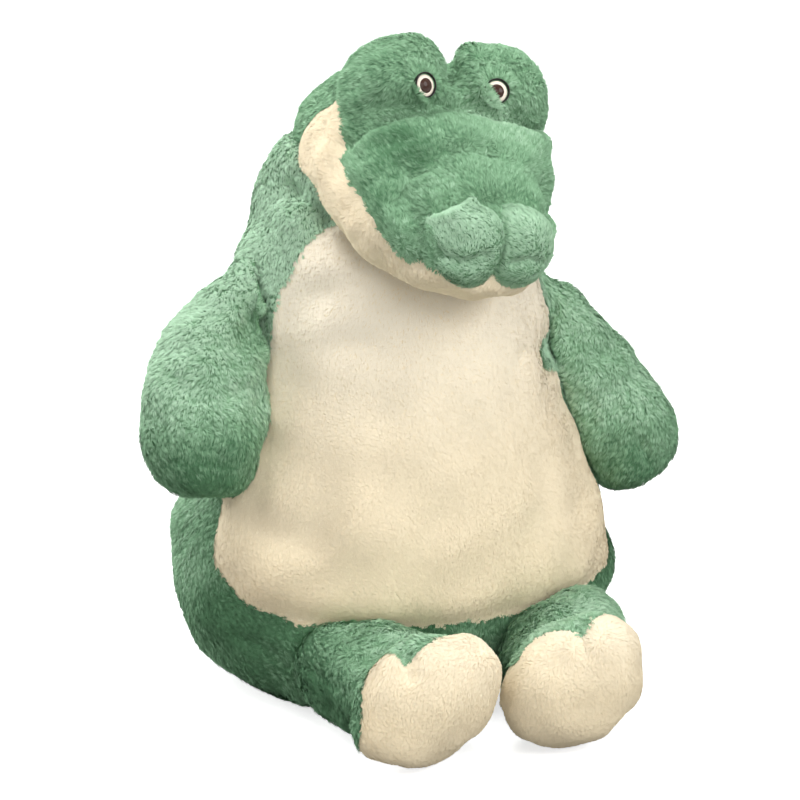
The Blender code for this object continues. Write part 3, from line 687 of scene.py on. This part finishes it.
# Nothing reaches lower than these over the floor: the skins, and the fur
SKIN_CLEARANCE = 0.0008
FUR_CLEARANCE = 0.0002

skins = {}
for body in BODIES:
    if body.startswith("nose"):
        skins[body] = puff_skin(body, -1 if body == "nose_right" else 1)
    else:
        skins[body] = skin_of(body)
flow_together([body for body in BODIES if not body.startswith("nose")])
fields = {}
for number, (body, skin) in enumerate(skins.items()):
    co = corners(skin.data)
    far = fields_of(body, co)
    pull = fade(beside(far), SEAM_WIDTH) * (SKIN[body][3] if body in SKIN else 0)
    lumps = drift(co, LUMP_SIZE, 40 + number, 1)[:, 0] * LUMP
    put(skin.data, co + normals(skin.data) * (lumps - pull)[:, None])
    fields[body] = shifted(body, co, normals(skin.data), far)
    for owner, depth, width, places in CREASES:
        if owner == body:
            carve(skin, places, depth, width)
    co = corners(skin.data)
    co[:, 2] = np.maximum(co[:, 2], SKIN_CLEARANCE)
    put(skin.data, socketed(co, normals(skin.data)) if body == "head" else co)
    skin.data.shade_smooth()


# Materials

def shader(name, roughness, sheen=0.0, tint=(1, 1, 1)):
    made = bpy.data.materials.new(name)
    made.use_nodes = True
    tree = made.node_tree
    tree.nodes.clear()
    main = tree.nodes.new("ShaderNodeBsdfPrincipled")
    main.inputs["Roughness"].default_value = roughness
    main.inputs["Sheen Weight"].default_value = sheen
    main.inputs["Sheen Roughness"].default_value = 0.5
    main.inputs["Sheen Tint"].default_value = (*tint, 1)
    main.inputs["Specular IOR Level"].default_value = 0.2
    end = tree.nodes.new("ShaderNodeOutputMaterial")
    tree.links.new(main.outputs[0], end.inputs[0])
    return made, tree, main


def ramp(tree, value, stops):
    node = tree.nodes.new("ShaderNodeValToRGB")
    bar = node.color_ramp
    while len(bar.elements) < len(stops):
        bar.elements.new(0.5)
    for element, (place, colour) in zip(bar.elements, stops):
        element.position = place
        element.color = (*colour, 1)
    tree.links.new(value, node.inputs[0])
    return node.outputs[0]


def linear(*eight_bit):
    """A colour given from 0 to 255, as the shaders take it."""
    shares = [value / 255 for value in eight_bit]
    return tuple(s / 12.92 if s <= 0.04045 else ((s + 0.055) / 1.055) ** 2.4 for s in shares)


def multiply(tree, first, second):
    node = tree.nodes.new("ShaderNodeMix")
    node.data_type = "RGBA"
    node.blend_type = "MULTIPLY"
    node.inputs[0].default_value = 1
    tree.links.new(first, node.inputs[6])
    tree.links.new(second, node.inputs[7])
    return node.outputs[2]


def grained_material(name, roughness, colours, noise_scale, detail, bump, depth):
    """A surface that varies between two colours and is rough in the same pattern."""
    made, tree, main = shader(name, roughness)
    place = tree.nodes.new("ShaderNodeTexCoord")
    noise = tree.nodes.new("ShaderNodeTexNoise")
    noise.inputs["Scale"].default_value = noise_scale
    noise.inputs["Detail"].default_value = detail
    tree.links.new(place.outputs["Object"], noise.inputs["Vector"])
    tree.links.new(ramp(tree, noise.outputs[0], ((0.3, colours[0]), (0.7, colours[1]))), main.inputs["Base Color"])
    relief = tree.nodes.new("ShaderNodeBump")
    relief.inputs["Strength"].default_value = bump
    relief.inputs["Distance"].default_value = depth
    tree.links.new(noise.outputs[0], relief.inputs["Height"])
    tree.links.new(relief.outputs[0], main.inputs["Normal"])
    return made


def pile_material(name, dark, middle, light, root):
    """Fur: each blade's tone, from its tuft and from the painted light and shade it carries, is read from its UV
    map, and a painted shade darkens it towards the root, paling to the tip.
    """
    made, tree, main = shader(name, 0.95, 0.3, middle)
    chart = tree.nodes.new("ShaderNodeUVMap")
    chart.uv_map = "OFBake"
    split = tree.nodes.new("ShaderNodeSeparateXYZ")
    tree.links.new(chart.outputs[0], split.inputs[0])
    tone = ramp(tree, split.outputs[0], ((0.0, dark), (0.5, middle), (1.0, light)))
    # Painted shade: the colour darkens towards each blade's root, where the pile shades itself
    shade = ramp(tree, split.outputs[1], ((0.0, root), (0.5, (0.95, 0.95, 0.95)), (1.0, (1, 1, 1))))
    tree.links.new(multiply(tree, tone, shade), main.inputs["Base Color"])
    return made


# The last colour of each pile is its painted shade at the blades' roots
GREEN_PILE = pile_material("green_pile", linear(86, 130, 93), linear(146, 188, 150), linear(190, 224, 193),
                           (0.80, 0.82, 0.80))
CREAM_PILE = pile_material("cream_pile", linear(241, 225, 191), linear(247, 233, 203), linear(252, 243, 222),
                           (0.99, 0.985, 0.975))


# The cloth and the deep pile that show between the tufts: their grain's scale, detail, strength and depth
BACKING = (160, 4, 0.6, 0.002)
GREEN_BACKING = grained_material("green_backing", 0.95, (linear(100, 142, 105), linear(122, 163, 126)), *BACKING)
CREAM_BACKING = grained_material("cream_backing", 0.95, (linear(243, 228, 196), linear(250, 238, 210)), *BACKING)

CREAM_NODES = {"belly_panel", "jaw_panel", "right_foot_sole", "left_foot_sole"}


def plain_material(name, colour, roughness, scale, depth):
    return grained_material(name, roughness, (tuple(c * 0.85 for c in colour), colour), scale, 2, 0.3, depth)


# The head, limbs and tail, each with the body it leaves, where a turn would begin and from where it would be full;
# the script reads only which bodies are listed, and bends nothing
BEND = {
    "head": ("torso", (0.0, 0.085, 0.375), (0.0, 0.035, 0.400)),
    "right_arm": ("torso", (-0.096, -0.005, 0.354), (-0.128, -0.008, 0.340)),
    "left_arm": ("torso", (0.100, -0.005, 0.321), (0.132, -0.008, 0.307)),
    "right_leg": ("torso", (-0.086, -0.100, 0.044), (-0.072, -0.160, 0.044)),
    "left_leg": ("torso", (0.100, -0.085, 0.044), (0.083, -0.150, 0.044)),
    "tail": ("torso", (0.0, 0.125, 0.050), (0.0, 0.165, 0.044)),
}


def attach(obj, body):
    """Puts a piece of the torso or a nose on its body; a piece of a body in BEND has its place written into its mesh
    instead.
    """
    if body.startswith("nose"):
        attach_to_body(obj, "head")
        return
    if body in BEND:
        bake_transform(obj)
    else:
        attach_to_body(obj, body)


# The pile: blades of fur, brushed one way and drifting in soft tufts

DENSITY = 2.1e6
# Each panel: blade length, width, how tufted it is, how dense, and the way it is brushed
FUR = {
    "body_back_cover": (0.0046, 0.00062, 1.0, 1.0, (0.0, 0.1, -1.0)),
    "belly_panel": (0.0032, 0.00120, 0.08, 0.70, (0.1, 0.0, -1.0)),
    "seat_panel": (0.0036, 0.00110, 0.4, 0.35, (0.0, 1.0, 0.0)),
    "brow_cover": (0.0044, 0.00060, 0.9, 1.0, (0.0, 0.8, -0.6)),
    "snout_cover": (0.0040, 0.00060, 0.8, 1.0, (0.0, 0.7, 0.2)),
    "jaw_panel": (0.0036, 0.00100, 0.25, 0.5, (0.0, 0.5, -0.6)),
    "nose": (0.0040, 0.00064, 0.62, 1.1, (0.0, 0.6, 0.5)),
    "arm": (0.0046, 0.00062, 1.0, 1.0, (0.0, 0.1, -1.0)),
    "leg": (0.0044, 0.00062, 1.0, 1.0, (0.0, 0.2, -1.0)),
    "foot": (0.0034, 0.00110, 0.12, 0.60, (0.0, 0.2, -1.0)),
    "tail": (0.0046, 0.00062, 1.0, 1.0, (0.0, 1.0, -0.4)),
}
# The pile's tone on each body, from a low height to a high one: partly the pile's own colour and partly painted
# light and shade, mostly darker low down and lighter higher up, as the light falls
TONE_AND_PAINTED_LIGHT_BY_HEIGHT = {
    "head": ((0.36, 0.33), (0.46, 0.28)),
    "nose_right": ((0.34, 0.62), (0.38, 0.84)),
    "nose_left": ((0.34, 0.60), (0.38, 0.72)),
    "torso": ((0.08, 0.06), (0.18, 0.40), (0.30, 0.97)),
    "right_arm": ((0.175, 0.10), (0.225, 0.60), (0.31, 0.92)),
    "left_arm": ((0.165, 0.22), (0.215, 0.58), (0.28, 0.46)),
    "right_leg": ((0.050, 0.08), (0.090, 0.66)),
    "left_leg": ((0.050, 0.08), (0.090, 0.66)),
    "tail": ((0.02, 0.15), (0.10, 0.50)),
}
# Patches of painted shade and painted light on the pile, darker in shadowed folds and under parts, lighter where
# light falls: body, place in the photograph, radius and change of tone
PAINTED_LIGHT_PATCHES = (
    ("right_arm", (246, 328), 0.024, -0.50),
    ("right_arm", (216, 455), 0.030, -0.35),
    ("right_arm", (180, 480), 0.026, -0.20),
    ("torso", (238, 622), 0.045, -0.30),
    ("torso", (262, 215), 0.035, 0.15),
    ("torso", (194, 560), 0.045, 0.30),
    ("right_leg", (318, 668), 0.034, -0.35),
    ("head", (492, 122), 0.038, 0.30),
    ("head", (384, 146), 0.030, -0.12),
    ("torso", (270, 225), 0.040, 0.15),
    ("right_arm", (236, 290), 0.026, 0.20),
)
# Blades whose roots lie deeper than this in another form are left out, on the arms from deeper down
BURIED = 0.006
BURIED_SHOULDER = 0.016
# How far off what covers a point may lie
COVER = 0.07
# The sizes of the pile's patterns: the broad sweep, locks, tufts and the tips in a tuft
SWEEP = 0.16
LOCK = 0.040
TUFT = 0.010
TIPS = 0.0034
# The ragged edge between two panels' piles: its size and how far it goes
RAGGED_SIZE = 0.006
RAGGED = 0.0007
# How near an eye fur is brushed away from it, over what length that ends, and how far off it may lie
EYE_BRUSHED = 0.019
EYE_BRUSH_FADE = 0.009
EYE_NEAR = 0.022
# How deep blades root, and how many one piece may hold
ROOT_DEPTH = 0.0004
LOT = 95000


def fur_of(node):
    return FUR.get(node) or FUR[next(k for k in ("arm", "leg", "foot", "tail", "nose") if k in node)]


def scatter(mesh, density, values, source):
    """Random places on a mesh, with the surface's normal and the vertices' values there."""
    co = corners(mesh)
    out = normals(mesh)
    tri = triangles(mesh)
    a, b, c = (co[tri[:, k]] for k in range(3))
    area = np.linalg.norm(np.cross(b - a, c - a), axis=1) / 2
    each = np.floor(area * density + source.random(len(tri))).astype(int)
    pick = np.repeat(np.arange(len(tri)), each)
    u, v = source.random(len(pick)), source.random(len(pick))
    over = u + v > 1
    u[over], v[over] = 1 - u[over], 1 - v[over]
    mix = [x[:, None] for x in (1 - u - v, u, v)]
    place, normal, rest = (sum(rows[tri[pick, k]] * mix[k] for k in range(3)) for rows in (co, out, values))
    return place, unit(normal), rest


def across(rows, normal):
    """The part of each row that lies along the surface."""
    return rows - normal * np.sum(rows * normal, axis=1, keepdims=True)


def blades(name, root, middle, tip, half, shade, tone):
    """A mesh of bent two-triangle blades, with their tuft's tone and the way along them as its UV map."""
    points = np.stack([root, middle - half, middle + half, tip], axis=1)
    count = len(points)
    faces = (np.arange(count)[:, None, None] * 4 + np.array([[0, 2, 1], [1, 2, 3]])).reshape(-1, 3)
    mesh = bpy.data.meshes.new(name)
    mesh.vertices.add(count * 4)
    mesh.vertices.foreach_set("co", points.ravel())
    mesh.loops.add(faces.size)
    mesh.loops.foreach_set("vertex_index", faces.ravel().astype(np.int32))
    mesh.polygons.add(len(faces))
    mesh.polygons.foreach_set("loop_start", (np.arange(len(faces)) * 3).astype(np.int32))
    mesh.update(calc_edges=True)
    chart = mesh.uv_layers.new(name="OFBake")
    along = np.tile([0.02, 0.5, 0.5, 0.5, 0.5, 0.98], count)
    chart.data.foreach_set("uv", np.stack([np.repeat(tone, 6), along], axis=1).ravel())
    mesh.shade_smooth()
    mesh.normals_split_custom_set_from_vertices(np.repeat(shade, 4, axis=0))
    return mesh


def buried(body):
    """How deep each of a skin's points lies in the nearest other skin that covers it."""
    co = corners(skins[body].data)
    out = normals(skins[body].data)
    deep = np.full(len(co), -1.0)
    near = ("torso", "head") if body not in ("torso", "head") else tuple(skins)
    for other in near:
        if other == body:
            continue
        box = corners(skins[other].data)
        close = np.all((co > box.min(0)) & (co < box.max(0)), axis=1)
        for index in np.flatnonzero(close):
            spot, normal, _, distance = TREES[other].find_nearest(Vector(co[index]))
            if (Vector(co[index]) - spot).dot(normal) < 0 and TREES[other].ray_cast(co[index], out[index], COVER)[0]:
                deep[index] = max(deep[index], distance)
    return deep


def rooted(body, skin, source):
    """The roots of a body's fur: places, normals, panels, and how an eye changes the way they are brushed."""
    names = BODIES[body]
    values = np.column_stack([fields[body], buried(body)])
    place, normal, values = scatter(skin.data, DENSITY, values, source)
    panel = np.argmin(values[:, :-1] + drift(place, RAGGED_SIZE, 33, len(names)) * RAGGED, axis=1)
    dense = np.array([fur_of(node)[3] for node in names])[panel]
    deepest = BURIED_SHOULDER if body in SHOULDERS else BURIED
    keep = (values[:, -1] < deepest) & (source.random(len(place)) < dense)
    parted = np.zeros_like(place)
    eyes = EYES if body == "head" else {}
    for side, (centre, out) in eyes.items():
        ray = place - centre
        ray = ray - np.outer(ray @ out, out)
        reach = np.linalg.norm(ray, axis=1)
        close = np.linalg.norm(place - centre, axis=1) < EYE_NEAR
        over = laid_share(side, ray, reach)
        keep &= ~(close & (reach < EYE_FUR[side][0]))
        pull = (eased((EYE_BRUSHED - reach) / EYE_BRUSH_FADE) * close)[:, None]
        parted += unit(ray) * pull * (2.2 - 4.2 * over[:, None])
    place, normal, panel, parted = place[keep], normal[keep], panel[keep], parted[keep]
    for side in eyes:
        more = laid_over(side, DENSITY * LAID_DENSER, source)
        place, normal, parted = (np.vstack(rows) for rows in zip((place, normal, parted), more))
        panel = np.append(panel, np.zeros(len(more[0]), int))
    return place, normal, panel, parted


def painted_light_of(body, place):
    """How much painted shade darkens and painted light lightens the pile at each place, from PAINTED_LIGHT_PATCHES.
    """
    change = np.zeros(len(place))
    for owner, spot, radius, step in PAINTED_LIGHT_PATCHES:
        hit = TREES[body].ray_cast(*through(*spot))[0] if owner == body else None
        if hit is not None:
            change += step * fade(np.linalg.norm(place - np.array(hit), axis=1), radius)
    return change


def grow(body, skin, seed):
    """Fur on one body's skin, in one piece or more for each of its panels."""
    source = np.random.default_rng(seed)
    place, normal, panel, parted = rooted(body, skin, source)
    names = BODIES[body]
    table = [fur_of(node) for node in names]
    length, width, tufted, way = (np.array([row[k] for row in table])[panel] for k in (0, 1, 2, 4))
    count = len(place)
    fine = drift(place, TUFT, 8, 4, 24)
    tiny = drift(place, TIPS, 9, 4, 30)
    # The way each blade is combed, how steeply it stands, and its bent shape
    way = way + drift(place, SWEEP, 5) * 0.35 + parted
    way = way + (drift(place, LOCK, 6) * 0.22 + fine[:, :3] * 0.20 + tiny[:, :3] * 0.24) * tufted[:, None]
    way = unit(across(way, normal)) + across(source.normal(size=(count, 3)), normal) * 0.16
    comb = unit(across(way, normal))
    rise = 0.16 + 0.36 * tufted + (fine[:, 3] * 0.08 + tiny[:, 3] * 0.12) * tufted + source.normal(size=count) * 0.06
    rise = np.clip(rise, 0.12, 0.95)[:, None]
    length = length * source.uniform(0.85, 1.12, count) * (1 + (0.06 * fine[:, 3] + 0.13 * tiny[:, 3]) * tufted)
    middle = place + unit(normal * rise + comb * 0.75) * (length * 0.5)[:, None]
    tip = middle + unit(normal * rise * 0.25 + comb) * (length * 0.55)[:, None]
    turn = unit(np.cross(comb, normal) + normal * source.normal(size=(count, 1)) * 0.2)
    half = turn * (width * source.uniform(0.7, 1.2, count) / 2)[:, None]
    root = place - normal * ROOT_DEPTH
    for rows in (root, middle, tip):
        rows[:, 2] = np.maximum(rows[:, 2], FUR_CLEARANCE)
    # The normals it is shaded by, and its tone: its own random mottle together with painted light and shade by
    # height and in patches
    shade = unit(normal + (fine[:, :3] * 0.07 + tiny[:, :3] * 0.11) * tufted[:, None]
                 + source.normal(size=(count, 3)) * (0.015 + 0.025 * tufted[:, None]))
    heights, tones = zip(*TONE_AND_PAINTED_LIGHT_BY_HEIGHT[body])
    mottled = 0.08 * drift(place, 0.06, 7, 1)[:, 0] + 0.05 * fine[:, 3] + 0.12 * tiny[:, 3]
    tone = np.interp(place[:, 2], heights, tones) + painted_light_of(body, place) + mottled * tufted
    tone = np.clip(tone + source.normal(size=count) * (0.02 + 0.03 * tufted), 0.02, 0.98)
    for index, node in enumerate(names):
        rows = np.flatnonzero(panel == index)
        lots = max(1, math.ceil(len(rows) / LOT))
        order = rows[np.argsort(place[rows, 2], kind="stable")]
        for lot, part in enumerate(np.array_split(order, lots)):
            name = f"{node}_pile" if lots == 1 else f"{node}_pile_{lot + 1}"
            obj = new_object(name, blades(name, *(a[part] for a in (root, middle, tip, half, shade, tone))))
            cream = node in CREAM_NODES
            obj.data.materials.append(CREAM_PILE if cream else GREEN_PILE)
            attach(obj, body)


def backed(body, skin):
    """The finished skin under the fur, smooth and in its panels' colours."""
    count = len(BODIES[body])
    for index in range(count):
        layer = skin.data.attributes.new(f"panel_{index}", "FLOAT", "POINT")
        layer.data.foreach_set("value", fields[body][:, index].astype(np.float32))
    subdivided(skin)
    skin.data.shade_smooth()
    skin.data.materials.clear()
    skin.data.materials.append(GREEN_BACKING)
    skin.data.materials.append(CREAM_BACKING)
    layers = [skin.data.attributes[f"panel_{index}"].data for index in range(count)]
    far = np.hstack([read(layer, "value", 1, np.float32) for layer in layers])
    cream = np.array([node in CREAM_NODES for node in BODIES[body]])
    for polygon in skin.data.polygons:
        polygon.material_index = int(cream[np.argmin(far[list(polygon.vertices)].mean(0))])
    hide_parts(*BODIES[body], *[n for n in INNER[body] if "filling" in n])
    attach(skin, body)


bpy.context.view_layer.update()
TREES = {body: tree_over(skin) for body, skin in skins.items()}
for number, body in enumerate(BODIES):
    grow(body, skins[body], 100 + number * 10)
    backed(body, skins[body])


# The nodes inside, and the eyes

def colour_node(node, made):
    NODES[node].data.materials.clear()
    NODES[node].data.materials.append(made)


POUCH = plain_material("pouch_weave", linear(205, 198, 180), 0.9, 900, 0.0003)
BEADS = plain_material("glass_beads", linear(190, 196, 200), 0.35, 420, 0.0012)
WASHER = plain_material("washer_plastic", linear(220, 220, 214), 0.4, 60, 0.0001)
BLACK = plain_material("eye_black", linear(26, 22, 20), 0.3, 200, 0.00005)
WHITE = plain_material("eye_white", linear(245, 232, 215), 0.35, 200, 0.00005)
BROWN = plain_material("eye_brown", linear(62, 38, 28), 0.12, 300, 0.00003)
colour_node("bead_pouch_base", POUCH)
colour_node("bead_pouch_top", POUCH)
colour_node("weighting_beads", BEADS)
for side in EYES:
    colour_node(f"{side}_eye_washer", WASHER)

# Each eye's pieces, as (radius, height) down from the middle or round the ring, in millimetres
RIM = ((8.2, 1.4), (8.25, 2.5), (8.5, 3.05), (8.9, 3.2), (9.3, 2.95), (9.5, 2.3), (9.5, 0.1), (8.6, 0.1))
RING = ((2.4, 2.4), (5.0, 3.55), (6.2, 3.35), (7.2, 3.0), (7.95, 2.5), (7.95, 1.5), (2.4, 1.5))
PUPIL = ((0, 5.3), (1.6, 5.15), (3.2, 4.75), (4.6, 4.15), (5.4, 3.6), (5.6, 3.2), (5.5, 2.9), (2.0, 2.9),
         (2.0, -11.0), (0, -11.0))


def turned_piece(name, profile, side, slip, made, stands_for):
    """A smooth turned piece about an eye's axis."""
    centre, out = EYES[side]
    first = np.cross(out, (0, 0, 1))
    first /= np.linalg.norm(first)
    second = np.cross(first, out)
    steps = 48
    rows = []
    for radius, height in profile:
        rows.append([out * height / 1000 + (first * math.cos(a) + second * math.sin(a)) * radius / 1000
                     for a in np.arange(steps if radius else 1) * 2 * math.pi / steps])
    shell = bmesh.new()
    loops = [[shell.verts.new(centre + slip + spot) for spot in row] for row in rows]
    closed = len(rows[0]) > 1
    for upper, lower in zip(loops, loops[1:] + loops[:1] if closed else loops[1:]):
        for step in range(steps):
            after = (step + 1) % steps
            face = [upper[step % len(upper)], upper[after % len(upper)], lower[after % len(lower)],
                    lower[step % len(lower)]]
            shell.faces.new(list(dict.fromkeys(face)))
    bmesh.ops.recalc_face_normals(shell, faces=shell.faces)
    mesh = mesh_of(shell, name)
    mesh.shade_smooth()
    obj = new_object(name, mesh)
    mesh.materials.append(made)
    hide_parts(stands_for)
    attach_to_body(obj, "head")


# The white sits a little low and to the side in its black cup, so more black shows at the upper inner edge
SLIP = np.array((-0.0007, 0.0, -0.0006))
NO_SLIP = np.zeros(3)
for side in EYES:
    turned_piece(f"{side}_eye_cup", RIM, side, NO_SLIP, BLACK, f"{side}_eye_rim")
    turned_piece(f"{side}_eye_ring", RING, side, SLIP, WHITE, f"{side}_eye_white")
    turned_piece(f"{side}_eye_dome", PUPIL, side, SLIP, BROWN, f"{side}_eye_pupil")


# Floor, world and lamps

# The greys that light the toy without being seen themselves: the floor's colour and the world's strength
FLOOR_GREY = 0.33
WORLD_GREY = 0.24


def start_tree(owner, end):
    owner.use_nodes = True
    owner.node_tree.nodes.clear()
    return owner.node_tree, owner.node_tree.nodes.new(end)


def seen_or_lit(tree, unseen, shown, end):
    """One shader for rays that see the surface, also in gloss or through glass, and another for all the rest."""
    path = tree.nodes.new("ShaderNodeLightPath")
    sees = path.outputs["Is Camera Ray"]
    for ray in ("Is Glossy Ray", "Is Transmission Ray"):
        either = tree.nodes.new("ShaderNodeMath")
        either.operation = "MAXIMUM"
        tree.links.new(sees, either.inputs[0])
        tree.links.new(path.outputs[ray], either.inputs[1])
        sees = either.outputs[0]
    mix = tree.nodes.new("ShaderNodeMixShader")
    for index, source in enumerate((sees, unseen.outputs[0], shown.outputs[0])):
        tree.links.new(source, mix.inputs[index])
    tree.links.new(mix.outputs[0], end.inputs[0])


def floor():
    mesh = bpy.data.meshes.new("floor")
    wide = 6
    mesh.from_pydata([(-wide, -wide, 0), (wide, -wide, 0), (wide, wide, 0), (-wide, wide, 0)], [], [(0, 1, 2, 3)])
    obj = new_object("floor", mesh)
    made = bpy.data.materials.new("floor")
    tree, end = start_tree(made, "ShaderNodeOutputMaterial")
    grey = tree.nodes.new("ShaderNodeBsdfDiffuse")
    grey.inputs[0].default_value = (FLOOR_GREY, FLOOR_GREY, FLOOR_GREY, 1)
    white = tree.nodes.new("ShaderNodeBsdfDiffuse")
    white.inputs[0].default_value = (0.9, 0.9, 0.9, 1)
    glow = tree.nodes.new("ShaderNodeEmission")
    glow.inputs[0].default_value = (1, 1, 1, 1)
    # The floor's own glow is held back round the object, so that its shadow shows, and is white far off
    where = tree.nodes.new("ShaderNodeNewGeometry")
    away = tree.nodes.new("ShaderNodeVectorMath")
    away.operation = "LENGTH"
    tree.links.new(where.outputs["Position"], away.inputs[0])
    reach = tree.nodes.new("ShaderNodeMapRange")
    for socket, value in (("From Min", 0.5), ("From Max", 1.6), ("To Min", 0.70), ("To Max", 1.0)):
        reach.inputs[socket].default_value = value
    tree.links.new(away.outputs["Value"], reach.inputs["Value"])
    tree.links.new(reach.outputs["Result"], glow.inputs[1])
    add = tree.nodes.new("ShaderNodeAddShader")
    tree.links.new(white.outputs[0], add.inputs[0])
    tree.links.new(glow.outputs[0], add.inputs[1])
    seen_or_lit(tree, grey, add, end)
    mesh.materials.append(made)


def world():
    made = bpy.data.worlds.new("studio")
    scene.world = made
    tree, end = start_tree(made, "ShaderNodeOutputWorld")
    soft = tree.nodes.new("ShaderNodeBackground")
    white = tree.nodes.new("ShaderNodeBackground")
    for node, strength in ((soft, WORLD_GREY), (white, 1)):
        node.inputs[0].default_value = (1, 1, 1, 1)
        node.inputs[1].default_value = strength
    seen_or_lit(tree, soft, white, end)


def lamp(name, place, size, power):
    data = bpy.data.lights.new(name, "AREA")
    data.shape = "DISK"
    data.size = size
    data.energy = power
    obj = new_object(name, data)
    obj.location = place
    obj.rotation_euler = (LOOK - Vector(place)).to_track_quat("-Z", "Y").to_euler()


floor()
world()
# Each lamp: where it stands, how wide it is and its power in watts
lamp("front", (0.2, -2.6, 1.2), 1.6, 11.5)
lamp("front_high", (-0.3, -2.3, 1.9), 1.2, 17)
lamp("front_low", (-0.6, -2.4, 0.6), 1.2, 7)
lamp("front_right", (1.4, -1.6, 1.4), 1.4, 26)
lamp("top", (0, -0.2, 2.6), 1.6, 15)
lamp("left_up", (-0.8, -0.3, 2.7), 0.8, 20)
lamp("left_back", (-1.4, 1.4, 1.8), 1.2, 24)
lamp("left_level_back", (-2.0, 0.9, 0.9), 1.0, 23)
scene.view_settings.view_transform = "Standard"
